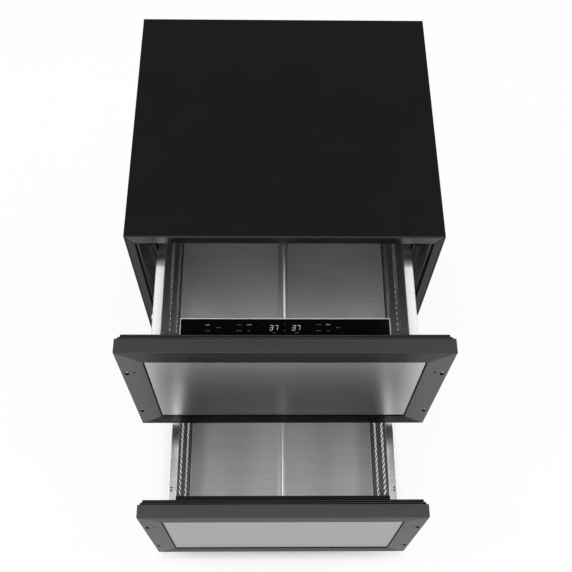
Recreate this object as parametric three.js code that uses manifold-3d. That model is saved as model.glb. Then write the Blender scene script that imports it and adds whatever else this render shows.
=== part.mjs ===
// Undercounter drawer refrigerator with two insulated drawers, standing with both of them open.
//
// Millimetres. X is to the right, Y to the back and Z up. The floor is Z = 0 and, until the last
// lines centre the whole, Y = 0 is the plane of the cabinet's face frame. Each drawer is a group
// of its own: its Y = 0 is the sealing plane of its gasket, and its Z = 0 the bottom of its front.

import * as THREE from 'three';
import { mergeVertices } from 'three/addons/utils/BufferGeometryUtils.js';
import Module from 'manifold-3d';

const wasm = await Module();
wasm.setup();

// ---------------------------------------------------------------- driving dimensions

const fit = 0.3; // gap between pieces that touch
const mitreGap = 0.2; // at each side of a mitre
const cutPast = 1; // a cutting shape reaches this far past what it cuts

// Cabinet
const cabinetWidth = 606;
const cabinetDepth = 547;
const cabinetHeight = 870;
const caseSheet = 1.2; // steel of the casing
const hem = 3; // folded front edge of the casing
const kickHeight = 78; // toe space under the lower drawer
const kickDepth = 60;
const panClearance = 20; // underside of the base pan above the floor
const panRim = 20;
const stileWidth = 18; // face frame at the sides, with the hem
const railHeight = 25; // face frame at the top and bottom, with the hem at the top
const faceFrameDepth = 14;
const linerLedge = 2; // the liner stands this far inside the face frame
const linerWall = 1.8;
const backInsulation = 38;
const machineDepth = 147; // compartment for the compressor, low at the back
const machineHeight = 200; // its ceiling above the floor
const stepInsulation = 22; // foam between it and the cold space
const mullionHeight = 44;
const mullionDepth = 40;
const partitionThickness = 26;

// Drawer fronts
const topReveal = 4; // cabinet top above the upper front
const frontGap = 4; // between the two fronts
const frontThickness = 27;
const frontSheet = 1.5;
const frontBorder = 46; // frame around the panel
const panelLap = 8; // panel behind the frame
const panelSheet = 1.5;
const keyholeWidth = 6; // slots that a cabinet maker's panel hangs on
const keyholeHeight = 14;
const keyholeInset = 10.5; // slot centre from the side
const keyholeTop = 99; // upper slot centre below the front's top
const keyholeBottom = 84; // lower slot centre above the front's bottom
const pilotSize = 4; // small hole beside the upper slot
const pilotInset = 24.5;
const pilotTop = 94;
const gasketDepth = 12;
const gasketInset = 4.5; // wide base of the gasket from the front's edge
const gasketStep = 4; // its narrow lip is this much smaller on each side
const gasketWidth = 12;
const gasketCrush = 0.5; // what is left between the gasket and the cabinet with the drawer shut
const plugInset = 25; // raised back of the front, from its edge

// Bins
const binSideSpace = 54; // from the liner to the inside of the bin, for slide and bracket
const binSheet = 1.2;
const binFloorLift = 60; // inside floor above the front's bottom
const flangeDrop = 54; // flange below the front's top
const flangeOverhang = 1.5; // flange past the slide under it
const flangeLip = 8;
const frontFlange = 18;
const rearFlange = 10;
const upperBinBehind = 14.4; // from the flange to the evaporator cover with the drawer shut
const lowerBinBehind = 11.4; // and to the liner's step
const slotWidth = 5;
const slotHeight = 42;
const slotPitch = 12;
const slotMargin = 18; // first slot from the ends of the wall
const upperSlotDrops = [106, 222]; // slot centres below the flange
const lowerSlotDrops = [63, 189];
const dividerThickness = 3;
const dividerHeight = 215;

// Drawer travel
const upperOpen = 194; // sealing plane in front of the cabinet, as the drawers stand
const lowerOpen = 395;

// Slides: drawer member inside intermediate member inside cabinet member
const slideStart = 4; // cabinet member from the face frame's front
const slideBehind = 51.4; // from its end to the liner's back
const slideSheet = 1.5;
const slideFit = 0.4;
const slideDrop = 30; // slide centre below the flange
const slideHeight = 45;
const slideThickness = 14.5;
const bracketSheet = 2;
const bracketDepth = 10;
const bracketFront = 6;
const bracketRise = 18; // bracket above the flange
const bracketFall = 77; // bracket below the flange
const bracketClearance = 1.5; // beside the flange
const bracketCorner = 4;
const padMargin = 4.5; // bracket's raised pad inside the edges of the cabinet member
const lugLength = 40;
const lugCount = 3;
const lugFirst = 104; // middle of the first lug from the slide's front

// Control panel on the upper drawer and trim on the lower one
const controlInset = 38; // ends of the control panel inside the bin's walls
const controlDepth = 40;
const controlDrop = 26; // glass below the front's top
const bezelHeight = 6;
const bezelWall = 1.5;
const glassThickness = 3.5;
const trimThickness = 3;
const trimInset = 0.5;

// Feet
const footInsetX = 33;
const footFront = 95;
const footBack = 32; // from the cabinet's back
const footRadius = 19;
const footPad = 6;
const nutRadius = 9;
const nutShoulder = 2;
const stemRadius = 5;
const stemTop = 45;

// Cooling parts
const compressorInset = 123; // its axis from the cabinet's left side
const compressorRadius = 60;
const compressorHeight = 140;
const compressorDome = 28; // height of its domed top
const domeSteps = 4;
const compressorChamfer = 12;
const mountHeight = 12; // rubber mounts under the compressor
const mountRadius = 8;
const mountSpreadX = 55;
const mountSpreadY = 38;
const compressorPlate = 3;
const moduleOffset = 125; // control module and mains inlet to the right of the compressor
const trayOffset = 105; // drain tray to the right of the module
const condenserOffset = 115; // condenser to the right of the tray
const condenserThickness = 42;
const condenserEndSpace = 12; // in front of it and behind it
const condenserTopSpace = 14;
const finPitch = 10;
const finGap = 6;
const finDepth = 14;
const fanRadius = 41;
const fanHoleRadius = 45;
const fanHubRadius = 14;
const fanHubLength = 14;
const fanTipGap = 1; // from the tip of the shaft to the hub
const fanMotorGap = 3; // from the hub to the motor
const fanCoverGap = 1;
const fanShaftRadius = 2.5;
const fanMotorRadius = 17;
const fanMotorLength = 20;
const strutWidth = 8;
const guardBar = 4;
const shroudThickness = 3;
const bladeCount = 5;
const bladeThickness = 2;
const bladeChord = 22;
const bladePitch = Math.PI / 6;
const coverSideSpace = 78; // from the liner's side to the evaporator cover
const coverDepth = 38; // evaporator cover in front of the liner's back
const coverSheet = 2;
const coverFootGap = 8; // cover above the partition and below the ceiling
const coilInset = 35; // ends of the coil inside the cover
const coilHeight = 130;
const coilLift = 40;
const coilThickness = 22;
const evaporatorFanDrop = 72; // fan centre below the ceiling
const moduleSize = [90, 60, 55];
const inletSize = [28, 30, 20];
const inletWall = 3;
const inletZ = 120;
const inletFlange = 4;
const inletFlangeThickness = 2;
const louvreLength = 70;
const louvreHeight = 4;
const louvrePitch = 12;
const louvreRows = 9;
const louvreColumns = [[-1, 83], [1, 243], [1, 153], [1, 63]]; // side, and distance from it
const grilleSheet = 2;
const grilleAirGap = 16; // left open above the grille
const grilleSlotWidth = 10;
const grilleSlotHeight = 26;
const grillePitch = 16;
const drainTraySize = [70, 100, 22];

const roundSides = 20;

// ---------------------------------------------------------------- derived places

const halfWidth = cabinetWidth / 2;
const insideHalf = halfWidth - caseSheet - fit; // pieces between the casing's sides
const insideTop = cabinetHeight - caseSheet - fit;
const backFace = cabinetDepth - caseSheet; // front of the back panel
const insideBack = backFace - fit;
const frameInnerHalf = halfWidth - stileWidth;
const frameInnerTop = cabinetHeight - railHeight;
const frameInnerBottom = kickHeight + railHeight;
const cavityHalf = frameInnerHalf - linerLedge;
const cavityTop = frameInnerTop - linerLedge;
const cavityBottom = frameInnerBottom + linerLedge;
const cavityBack = cabinetDepth - caseSheet - backInsulation - linerWall - 2 * fit;
const machineFront = cabinetDepth - machineDepth;
const stepWall = caseSheet + stepInsulation + linerWall + 2 * fit;
const cavityStepY = machineFront - stepWall;
const cavityStepZ = machineHeight + stepWall;
const behindFrame = faceFrameDepth + fit;

const slideLength = cavityBack - slideBehind - slideStart;

const frontHeight = (cabinetHeight - topReveal - kickHeight - frontGap) / 2;
const lowerFrontZ = kickHeight;
const upperFrontZ = kickHeight + frontHeight + frontGap;
const flangeZ = frontHeight - flangeDrop; // in a drawer's own frame
const binHalfWidth = cavityHalf - binSideSpace; // inside
const binOuterHalf = binHalfWidth + binSheet;
const slideInner = binOuterHalf + fit; // face of the slide on the bin's wall
const slideOuter = slideInner + slideThickness; // and on the bracket
const flangeHalf = slideOuter + flangeOverhang;
const binFlanges = frontFlange + rearFlange;
const coverFront = cavityBack - coverDepth;
const upperBinLength = coverFront - upperBinBehind - binFlanges;
const lowerBinLength = cavityStepY - lowerBinBehind - binFlanges;
const controlHalfWidth = binHalfWidth - controlInset;
const mullionMiddle = kickHeight + frontHeight + frontGap / 2;
const mullionTop = mullionMiddle + mullionHeight / 2;
const mullionBottom = mullionMiddle - mullionHeight / 2;

const panTop = panClearance + caseSheet;
const onPan = panTop + fit;
const machineMiddleY = (machineFront + insideBack) / 2;
const compressorX = compressorInset - halfWidth;
const moduleX = compressorX + moduleOffset;
const drainTrayX = moduleX + trayOffset;
const condenserX = drainTrayX + condenserOffset;

// ---------------------------------------------------------------- materials

const paint = (color, roughness, metalness = 0) =>
  new THREE.MeshStandardMaterial({ color, roughness, metalness, flatShading: true });

const caseBlack = paint(0x1d1d1e, 0.6);
const charcoal = paint(0x4a4a4b, 0.55);
const charcoalFace = paint(0x6a6a6b, 0.55);
const linerGrey = paint(0x343436, 0.6);
const foamCream = paint(0xd9cfae, 0.95);
const galvanised = paint(0x8f9498, 0.45, 0.9);
const gasketBlack = paint(0x1a1a1b, 0.8);
const brushedSteel = paint(0xb9bbbd, 0.32, 1);
const bracketBlack = paint(0x0d0d0e, 0.45);
const slideZinc = paint(0xa6aaad, 0.35, 1);
const plasticBlack = paint(0x111112, 0.5);
const glassBlack = paint(0x060606, 0.06);
const bezelSilver = paint(0xc9cbcd, 0.25, 1);
const finAluminium = paint(0xb4b8ba, 0.4, 1);
const compressorBlack = paint(0x141415, 0.4);
const fanGrey = paint(0x55585b, 0.55);
const footGrey = paint(0x2a2a2b, 0.6);

// ---------------------------------------------------------------- solids from three.js shapes

// A three.js geometry becomes a solid once its shared corners are one vertex each and its
// pole triangles with no area are gone.
function solidOf(geometry) {
  geometry.deleteAttribute('normal');
  geometry.deleteAttribute('uv');
  const merged = mergeVertices(geometry, 1e-4);
  const index = merged.index.array;
  const triangles = [];
  for (let i = 0; i < index.length; i += 3) {
    const [a, b, c] = [index[i], index[i + 1], index[i + 2]];
    if (a !== b && b !== c && c !== a) triangles.push(a, b, c);
  }
  const vertProperties = new Float32Array(merged.attributes.position.array);
  const triVerts = new Uint32Array(triangles);
  return new wasm.Manifold(new wasm.Mesh({ numProp: 3, vertProperties, triVerts }));
}

function geometryOf(solid) {
  const mesh = solid.getMesh();
  const geometry = new THREE.BufferGeometry();
  geometry.setAttribute('position', new THREE.BufferAttribute(mesh.vertProperties, 3));
  geometry.setIndex(new THREE.BufferAttribute(mesh.triVerts, 1));
  geometry.computeVertexNormals();
  return geometry;
}

const joined = (solids) => solids.reduce((whole, solid) => whole.add(solid));
const cut = (solid, tools) => tools.reduce((rest, tool) => rest.subtract(tool), solid);

// A block between two corners, given in either order.
function block([xa, xb], [ya, yb], [za, zb]) {
  const size = [Math.abs(xb - xa), Math.abs(yb - ya), Math.abs(zb - za)];
  const geometry = new THREE.BoxGeometry(...size);
  geometry.translate((xa + xb) / 2, (ya + yb) / 2, (za + zb) / 2);
  return solidOf(geometry);
}

// An outline of [y, z] points that runs along X.
function barAlongX(outline, xa, xb) {
  const shape = new THREE.Shape(outline.map(([y, z]) => new THREE.Vector2(y, z)));
  const geometry = new THREE.ExtrudeGeometry(shape, { depth: xb - xa, bevelEnabled: false });
  const axes = [new THREE.Vector3(0, 1, 0), new THREE.Vector3(0, 0, 1), new THREE.Vector3(1, 0, 0)];
  geometry.applyMatrix4(new THREE.Matrix4().makeBasis(...axes));
  geometry.translate(xa, 0, 0);
  return solidOf(geometry);
}

// An outline of [x, z] points that runs along Y.
function barAlongY(outline, ya, yb) {
  const shape = new THREE.Shape(outline.map(([x, z]) => new THREE.Vector2(x, z)));
  const geometry = new THREE.ExtrudeGeometry(shape, { depth: yb - ya, bevelEnabled: false });
  const axes = [new THREE.Vector3(1, 0, 0), new THREE.Vector3(0, 0, 1), new THREE.Vector3(0, -1, 0)];
  geometry.applyMatrix4(new THREE.Matrix4().makeBasis(...axes));
  geometry.translate(0, yb, 0);
  return solidOf(geometry);
}

// A turned piece: [radius, height] points from the bottom of the axis to its top.
function turned(profile, place = [0, 0, 0], axis = 'z') {
  const points = profile.map(([radius, height]) => new THREE.Vector2(radius, height));
  const geometry = new THREE.LatheGeometry(points, roundSides);
  geometry.rotateX(Math.PI / 2);
  if (axis === 'x') geometry.rotateY(Math.PI / 2);
  if (axis === 'y') geometry.rotateX(-Math.PI / 2);
  geometry.translate(...place);
  return solidOf(geometry);
}

const rod = (radius, from, to, place, axis) =>
  turned([[0, from], [radius, from], [radius, to], [0, to]], place, axis);

// ---------------------------------------------------------------- scene graph

const refrigerator = new THREE.Group();

function place(parent, name, solid, material) {
  const mesh = new THREE.Mesh(geometryOf(solid), material);
  mesh.name = name;
  parent.add(mesh);
  return mesh;
}

function group(parent, y, z) {
  const holder = new THREE.Group();
  holder.position.set(0, y, z);
  parent.add(holder);
  return holder;
}

const sides = [['left', -1], ['right', 1]];
const cabinet = group(refrigerator, 0, 0);

// ---------------------------------------------------------------- casing

// Folded steel over the top and both sides, hemmed along its front edge. Its sides stop short
// in front at the bottom, where the toe space is.
function casing() {
  const side = [
    [0, kickHeight], [0, cabinetHeight], [cabinetDepth, cabinetHeight],
    [cabinetDepth, panClearance], [kickDepth, panClearance], [kickDepth, kickHeight],
  ];
  const sheets = [
    block([-halfWidth, halfWidth], [0, cabinetDepth], [cabinetHeight - caseSheet, cabinetHeight]),
    block([-halfWidth, halfWidth], [0, hem], [cabinetHeight - hem, cabinetHeight]),
  ];
  for (const [, sign] of sides) {
    const inner = sign * (halfWidth - caseSheet);
    const outer = sign * halfWidth;
    sheets.push(barAlongX(side, Math.min(inner, outer), Math.max(inner, outer)));
    sheets.push(block([sign * (halfWidth - hem), outer], [0, hem], [kickHeight, cabinetHeight]));
  }
  return joined(sheets);
}

place(cabinet, 'cabinet_casing', casing(), caseBlack);
place(
  cabinet,
  'back_panel',
  block([-insideHalf, insideHalf], [backFace, cabinetDepth], [machineHeight, insideTop]),
  galvanised,
);

// Stepped steel under the foam: floor of the cold space in front, ceiling of the machine
// compartment behind.
const underfloor = [
  [behindFrame, kickHeight], [machineFront, kickHeight], [machineFront, machineHeight],
  [insideBack, machineHeight], [insideBack, machineHeight + caseSheet],
  [machineFront - caseSheet, machineHeight + caseSheet],
  [machineFront - caseSheet, kickHeight + caseSheet], [behindFrame, kickHeight + caseSheet],
];
place(cabinet, 'underfloor_panel', barAlongX(underfloor, -insideHalf, insideHalf), galvanised);

// The step's profile, grown outwards by a wall. The front stays open.
function coldProfile(grow, front) {
  return [
    [front, cavityBottom - grow], [cavityStepY + grow, cavityBottom - grow],
    [cavityStepY + grow, cavityStepZ - grow], [cavityBack + grow, cavityStepZ - grow],
    [cavityBack + grow, cavityTop + grow], [front, cavityTop + grow],
  ];
}

function coldShell(outer, inner) {
  return cut(
    barAlongX(coldProfile(outer, behindFrame), -cavityHalf - outer, cavityHalf + outer),
    [barAlongX(coldProfile(inner, 0), -cavityHalf - inner, cavityHalf + inner)],
  );
}

function insulation() {
  const low = kickHeight + caseSheet + fit;
  const stepY = machineFront - caseSheet - fit;
  const stepZ = machineHeight + caseSheet + fit;
  const outline = [
    [behindFrame, low], [stepY, low], [stepY, stepZ],
    [insideBack, stepZ], [insideBack, insideTop], [behindFrame, insideTop],
  ];
  const hollow = linerWall + fit;
  const cavity = barAlongX(coldProfile(hollow, 0), -cavityHalf - hollow, cavityHalf + hollow);
  return cut(barAlongX(outline, -insideHalf, insideHalf), [cavity]);
}

place(cabinet, 'foam_insulation', insulation(), foamCream);
place(cabinet, 'inner_liner', coldShell(linerWall, 0), linerGrey);

// ---------------------------------------------------------------- face frame, mitred

const frameOuterHalf = halfWidth - hem - fit;
const frameOuterTop = cabinetHeight - hem - fit;

const topRail = [
  [mitreGap - frameOuterHalf, frameOuterTop], [frameOuterHalf - mitreGap, frameOuterTop],
  [frameInnerHalf - mitreGap, frameInnerTop], [mitreGap - frameInnerHalf, frameInnerTop],
];
const bottomRail = [
  [mitreGap - frameOuterHalf, kickHeight], [mitreGap - frameInnerHalf, frameInnerBottom],
  [frameInnerHalf - mitreGap, frameInnerBottom], [frameOuterHalf - mitreGap, kickHeight],
];
place(cabinet, 'face_frame_top_rail', barAlongY(topRail, 0, faceFrameDepth), charcoal);
place(cabinet, 'face_frame_bottom_rail', barAlongY(bottomRail, 0, faceFrameDepth), charcoal);
for (const [side, sign] of sides) {
  const stile = [
    [sign * frameOuterHalf, kickHeight + mitreGap], [sign * frameOuterHalf, frameOuterTop - mitreGap],
    [sign * frameInnerHalf, frameInnerTop - mitreGap],
    [sign * frameInnerHalf, frameInnerBottom + mitreGap],
  ];
  place(cabinet, `face_frame_${side}_stile`, barAlongY(stile, 0, faceFrameDepth), charcoal);
}

// The mullion takes both gaskets between the drawers, and the partition behind it keeps the
// two cold spaces apart.
const betweenLiner = [fit - cavityHalf, cavityHalf - fit];
const partitionZ = [mullionMiddle - partitionThickness / 2, mullionMiddle + partitionThickness / 2];
place(
  cabinet,
  'mullion_bar',
  block(betweenLiner, [0, mullionDepth], [mullionBottom, mullionTop]),
  charcoal,
);
place(
  cabinet,
  'compartment_partition',
  block(betweenLiner, [mullionDepth + fit, cavityBack - fit], partitionZ),
  linerGrey,
);

// ---------------------------------------------------------------- base, grille and rear cover

function basePan() {
  const rimTop = panClearance + panRim;
  const outer = block([-insideHalf, insideHalf], [kickDepth, insideBack], [panClearance, rimTop]);
  const inner = block(
    [caseSheet - insideHalf, insideHalf - caseSheet],
    [kickDepth + caseSheet, insideBack - caseSheet],
    [panTop, rimTop + cutPast],
  );
  const holes = footPlaces().map(([, x, y]) =>
    rod(stemRadius + fit, panClearance - cutPast, panTop + cutPast, [x, y, 0], 'z'));
  const [trayX, trayY, trayZ] = drainTraySize;
  const tray = cut(
    block(
      [drainTrayX - trayX / 2, drainTrayX + trayX / 2],
      [machineMiddleY - trayY / 2, machineMiddleY + trayY / 2],
      [panClearance, panTop + trayZ],
    ),
    [block(
      [drainTrayX - trayX / 2 + caseSheet, drainTrayX + trayX / 2 - caseSheet],
      [machineMiddleY - trayY / 2 + caseSheet, machineMiddleY + trayY / 2 - caseSheet],
      [panTop, panTop + trayZ + cutPast],
    )],
  );
  return cut(outer, [inner, ...holes]).add(tray);
}

function footPlaces() {
  const x = halfWidth - footInsetX;
  return [
    ['front_left', -x, footFront], ['front_right', x, footFront],
    ['back_left', -x, cabinetDepth - footBack], ['back_right', x, cabinetDepth - footBack],
  ];
}

place(cabinet, 'base_pan', basePan(), galvanised);

// A plate across the toe space, with slots and an open strip above it for the air that cools
// the condenser.
function toeGrille() {
  const top = kickHeight - grilleAirGap;
  const plate = block(
    [-halfWidth, halfWidth],
    [kickDepth - fit - grilleSheet, kickDepth - fit],
    [panClearance, top],
  );
  const middle = (panClearance + top) / 2;
  const count = Math.floor((cabinetWidth - 2 * grillePitch) / grillePitch);
  const slots = [];
  for (let i = 0; i < count; i += 1) {
    const x = (i - (count - 1) / 2) * grillePitch;
    slots.push(block(
      [x - grilleSlotWidth / 2, x + grilleSlotWidth / 2],
      [kickDepth - fit - grilleSheet - cutPast, kickDepth + cutPast],
      [middle - grilleSlotHeight / 2, middle + grilleSlotHeight / 2],
    ));
  }
  return cut(plate, slots);
}

place(cabinet, 'toe_grille', toeGrille(), plasticBlack);

function rearCover() {
  const through = [backFace - cutPast, cabinetDepth + cutPast];
  const plate = block(
    [-insideHalf, insideHalf],
    [backFace, cabinetDepth],
    [panClearance, machineHeight - fit],
  );
  const tools = [];
  for (const [sign, inset] of louvreColumns) {
    const x = sign * (halfWidth - inset);
    for (let row = 0; row < louvreRows; row += 1) {
      const z = (panClearance + machineHeight) / 2 + (row - (louvreRows - 1) / 2) * louvrePitch;
      tools.push(block(
        [x - louvreLength / 2, x + louvreLength / 2],
        through,
        [z - louvreHeight / 2, z + louvreHeight / 2],
      ));
    }
  }
  const [width, , height] = inletSize;
  tools.push(block(
    [moduleX - width / 2 - fit, moduleX + width / 2 + fit],
    through,
    [inletZ - height / 2 - fit, inletZ + height / 2 + fit],
  ));
  return cut(plate, tools);
}

place(cabinet, 'rear_cover', rearCover(), galvanised);

// The mains inlet sits in the rear cover, with its flange behind the sheet.
function powerInlet() {
  const [width, depth, height] = inletSize;
  const body = block(
    [moduleX - width / 2, moduleX + width / 2],
    [cabinetDepth - depth, cabinetDepth],
    [inletZ - height / 2, inletZ + height / 2],
  );
  const flange = block(
    [moduleX - width / 2 - inletFlange, moduleX + width / 2 + inletFlange],
    [insideBack - inletFlangeThickness, insideBack],
    [inletZ - height / 2 - inletFlange, inletZ + height / 2 + inletFlange],
  );
  const socket = block(
    [moduleX - width / 2 + inletWall, moduleX + width / 2 - inletWall],
    [cabinetDepth - depth + inletWall, cabinetDepth + cutPast],
    [inletZ - height / 2 + inletWall, inletZ + height / 2 - inletWall],
  );
  return cut(body.add(flange), [socket]);
}

place(cabinet, 'power_inlet', powerInlet(), plasticBlack);

const [moduleWidth, moduleDepth, moduleHeight] = moduleSize;
place(
  cabinet,
  'control_module',
  block(
    [moduleX - moduleWidth / 2, moduleX + moduleWidth / 2],
    [machineMiddleY - moduleDepth / 2, machineMiddleY + moduleDepth / 2],
    [onPan, onPan + moduleHeight],
  ),
  plasticBlack,
);

// ---------------------------------------------------------------- compressor and condenser

function compressor() {
  const base = onPan + mountHeight + compressorPlate;
  const top = base + compressorHeight;
  const profile = [
    [0, base],
    [compressorRadius - compressorChamfer, base],
    [compressorRadius, base + compressorChamfer],
  ];
  for (let i = 0; i <= domeSteps; i += 1) {
    const angle = (i / domeSteps) * (Math.PI / 2);
    profile.push([compressorRadius * Math.cos(angle), top - compressorDome * (1 - Math.sin(angle))]);
  }
  const shell = turned(profile, [compressorX, machineMiddleY, 0]);
  const plate = block(
    [compressorX - mountSpreadX - mountRadius, compressorX + mountSpreadX + mountRadius],
    [machineMiddleY - mountSpreadY - mountRadius, machineMiddleY + mountSpreadY + mountRadius],
    [base - compressorPlate, base],
  );
  const mounts = [];
  for (const x of [-mountSpreadX, mountSpreadX]) {
    for (const y of [-mountSpreadY, mountSpreadY]) {
      const spot = [compressorX + x, machineMiddleY + y, 0];
      mounts.push(rod(mountRadius, onPan, base - compressorPlate, spot, 'z'));
    }
  }
  return joined([shell, plate, ...mounts]);
}

place(cabinet, 'compressor', compressor(), compressorBlack);

// A tube-and-fin block: fins stand out of the core on the two faces that the air crosses.
function finned(core, from, to, cutter) {
  const tools = [];
  for (let at = from + finPitch; at + finGap < to; at += finPitch) {
    tools.push(...cutter(at, at + finGap));
  }
  return cut(core, tools);
}

const condenserY = [machineFront + condenserEndSpace, insideBack - condenserEndSpace];
const condenserZ = [onPan, machineHeight - condenserTopSpace];
const condenserXs = [condenserX - condenserThickness / 2, condenserX + condenserThickness / 2];
const condenser = finned(
  block(condenserXs, condenserY, condenserZ),
  condenserY[0],
  condenserY[1],
  (a, b) => {
    const z = [onPan + finPitch, machineHeight];
    return [
      block([condenserXs[0] - cutPast, condenserXs[0] + finDepth], [a, b], z),
      block([condenserXs[1] - finDepth, condenserXs[1] + cutPast], [a, b], z),
    ];
  },
);
place(cabinet, 'condenser_coil', condenser, finAluminium);

// Fan motor on two struts. Measured from its shaft's tip along the axis: fan, motor, plate.
const fanSpace = fanTipGap + fanHubLength + fanMotorGap;
const motorReach = fanSpace + fanMotorLength;

function fanWheel(spot, axis) {
  const hub = rod(fanHubRadius, fanTipGap, fanTipGap + fanHubLength, [0, 0, 0], 'z');
  const blades = [];
  for (let i = 0; i < bladeCount; i += 1) {
    const blade = new THREE.BoxGeometry(fanRadius - fanHubRadius / 2, bladeChord, bladeThickness);
    blade.rotateX(bladePitch);
    blade.translate((fanRadius + fanHubRadius / 2) / 2, 0, fanTipGap + fanHubLength / 2);
    blade.rotateZ((i * 2 * Math.PI) / bladeCount);
    blades.push(solidOf(blade));
  }
  const bore = rod(fanShaftRadius + fit, -cutPast, fanSpace, [0, 0, 0], 'z');
  const geometry = geometryOf(cut(joined([hub, ...blades]), [bore]));
  if (axis === 'x') geometry.rotateY(Math.PI / 2);
  if (axis === 'y') geometry.rotateX(-Math.PI / 2);
  geometry.translate(...spot);
  return solidOf(geometry);
}

const fanMiddleZ = (onPan + machineHeight) / 2;
const shroudX = condenserXs[0] - fit - shroudThickness;
const condenserFanX = shroudX - motorReach;

function condenserFanMount() {
  const plate = block(
    [shroudX, shroudX + shroudThickness],
    condenserY,
    condenserZ,
  );
  const axisSpot = [0, machineMiddleY, fanMiddleZ];
  const through = [shroudX - cutPast, shroudX + shroudThickness + cutPast];
  const hole = rod(fanHoleRadius, through[0], through[1], axisSpot, 'x');
  const struts = [
    block(
      [shroudX, shroudX + shroudThickness],
      condenserY,
      [fanMiddleZ - strutWidth / 2, fanMiddleZ + strutWidth / 2],
    ),
    block(
      [shroudX, shroudX + shroudThickness],
      [machineMiddleY - strutWidth / 2, machineMiddleY + strutWidth / 2],
      condenserZ,
    ),
  ];
  const motor = rod(fanMotorRadius, shroudX - fanMotorLength, shroudX + cutPast, axisSpot, 'x');
  const shaft = rod(fanShaftRadius, condenserFanX, shroudX, axisSpot, 'x');
  return joined([cut(plate, [hole]), ...struts, motor, shaft]);
}

place(cabinet, 'condenser_fan_mount', condenserFanMount(), fanGrey);
place(
  cabinet,
  'condenser_fan',
  fanWheel([condenserFanX, machineMiddleY, fanMiddleZ], 'x'),
  plasticBlack,
);

// ---------------------------------------------------------------- evaporator, in the upper space

const coverHalfWidth = cavityHalf - coverSideSpace;
const coilHalfWidth = coverHalfWidth - coilInset;
const coverZ = [partitionZ[1] + coverFootGap, cavityTop - coverFootGap];
const evaporatorFanZ = cavityTop - evaporatorFanDrop;
const behindCover = cavityBack - fit;

function evaporatorCover() {
  const shell = cut(
    block([-coverHalfWidth, coverHalfWidth], [coverFront, behindCover], coverZ),
    [block(
      [coverSheet - coverHalfWidth, coverHalfWidth - coverSheet],
      [coverFront + coverSheet, behindCover + cutPast],
      [coverZ[0] + coverSheet, coverZ[1] - coverSheet],
    )],
  );
  const spot = [0, 0, evaporatorFanZ];
  const through = [coverFront - cutPast, coverFront + coverSheet + cutPast];
  const hole = rod(fanHoleRadius, through[0], through[1], spot, 'y');
  const bars = [-1, 0, 1].map((step) => {
    const z = evaporatorFanZ + (step * fanHoleRadius) / 2;
    return block(
      [-fanHoleRadius, fanHoleRadius],
      [coverFront, coverFront + coverSheet],
      [z - guardBar / 2, z + guardBar / 2],
    );
  });
  return joined([cut(shell, [hole]), ...bars]);
}

place(cabinet, 'evaporator_cover', evaporatorCover(), linerGrey);

const coilZ = [coverZ[0] + coilLift, coverZ[0] + coilLift + coilHeight];
const coilY = [behindCover - coilThickness, behindCover];
const evaporatorCoil = finned(
  block([-coilHalfWidth, coilHalfWidth], coilY, coilZ),
  -coilHalfWidth,
  coilHalfWidth,
  (a, b) => [block(
    [a, b],
    [coilY[0] - cutPast, coilY[0] + finDepth],
    [coilZ[0] - cutPast, coilZ[1] + cutPast],
  )],
);
place(cabinet, 'evaporator_coil', evaporatorCoil, finAluminium);

const evaporatorShaftTip = coverFront + coverSheet + fanCoverGap;
const evaporatorMotorFront = evaporatorShaftTip + fanSpace;
const evaporatorAxis = [0, 0, evaporatorFanZ];
place(
  cabinet,
  'evaporator_fan_motor',
  joined([
    rod(fanMotorRadius, evaporatorMotorFront, behindCover, evaporatorAxis, 'y'),
    rod(fanShaftRadius, evaporatorShaftTip, evaporatorMotorFront + cutPast, evaporatorAxis, 'y'),
  ]),
  fanGrey,
);
place(
  cabinet,
  'evaporator_fan',
  fanWheel([0, evaporatorShaftTip, evaporatorFanZ], 'y'),
  plasticBlack,
);

// ---------------------------------------------------------------- levelling feet

const footProfile = [
  [0, 0], [footRadius, 0], [footRadius, footPad], [nutRadius, footPad + nutShoulder],
  [nutRadius, panClearance - fit], [stemRadius, panClearance - fit], [stemRadius, stemTop],
  [0, stemTop],
];
for (const [corner, x, y] of footPlaces()) {
  place(refrigerator, `foot_${corner}`, turned(footProfile, [x, y, 0]), footGrey);
}

// ---------------------------------------------------------------- drawer slides

// A channel whose web is nearer to or farther from the bin than its two legs.
function channel(sign, web, legEnd, halfHeight, from) {
  const webBack = web + Math.sign(legEnd - web) * slideSheet;
  const leg = (za, zb) =>
    block([sign * web, sign * legEnd], [from, from + slideLength], [za, zb]);
  return joined([
    block([sign * web, sign * webBack], [from, from + slideLength], [-halfHeight, halfHeight]),
    leg(halfHeight - slideSheet, halfHeight),
    leg(-halfHeight, slideSheet - halfHeight),
  ]);
}

const cabinetMemberHalf = slideHeight / 2;
const middleMemberHalf = cabinetMemberHalf - slideSheet - slideFit;
const drawerMemberHalf = middleMemberHalf - slideSheet - slideFit;
const middleWeb = slideOuter - slideSheet - slideFit;
const legClearance = slideSheet + 2 * slideFit;

const cabinetMember = (sign) =>
  channel(sign, slideOuter, slideInner + legClearance, cabinetMemberHalf, slideStart);
const middleMember = (sign) =>
  channel(sign, middleWeb, slideInner + legClearance, middleMemberHalf, slideStart);
const drawerMember = (sign, from) =>
  channel(sign, slideInner, middleWeb - slideSheet - slideFit, drawerMemberHalf, from);

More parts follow.
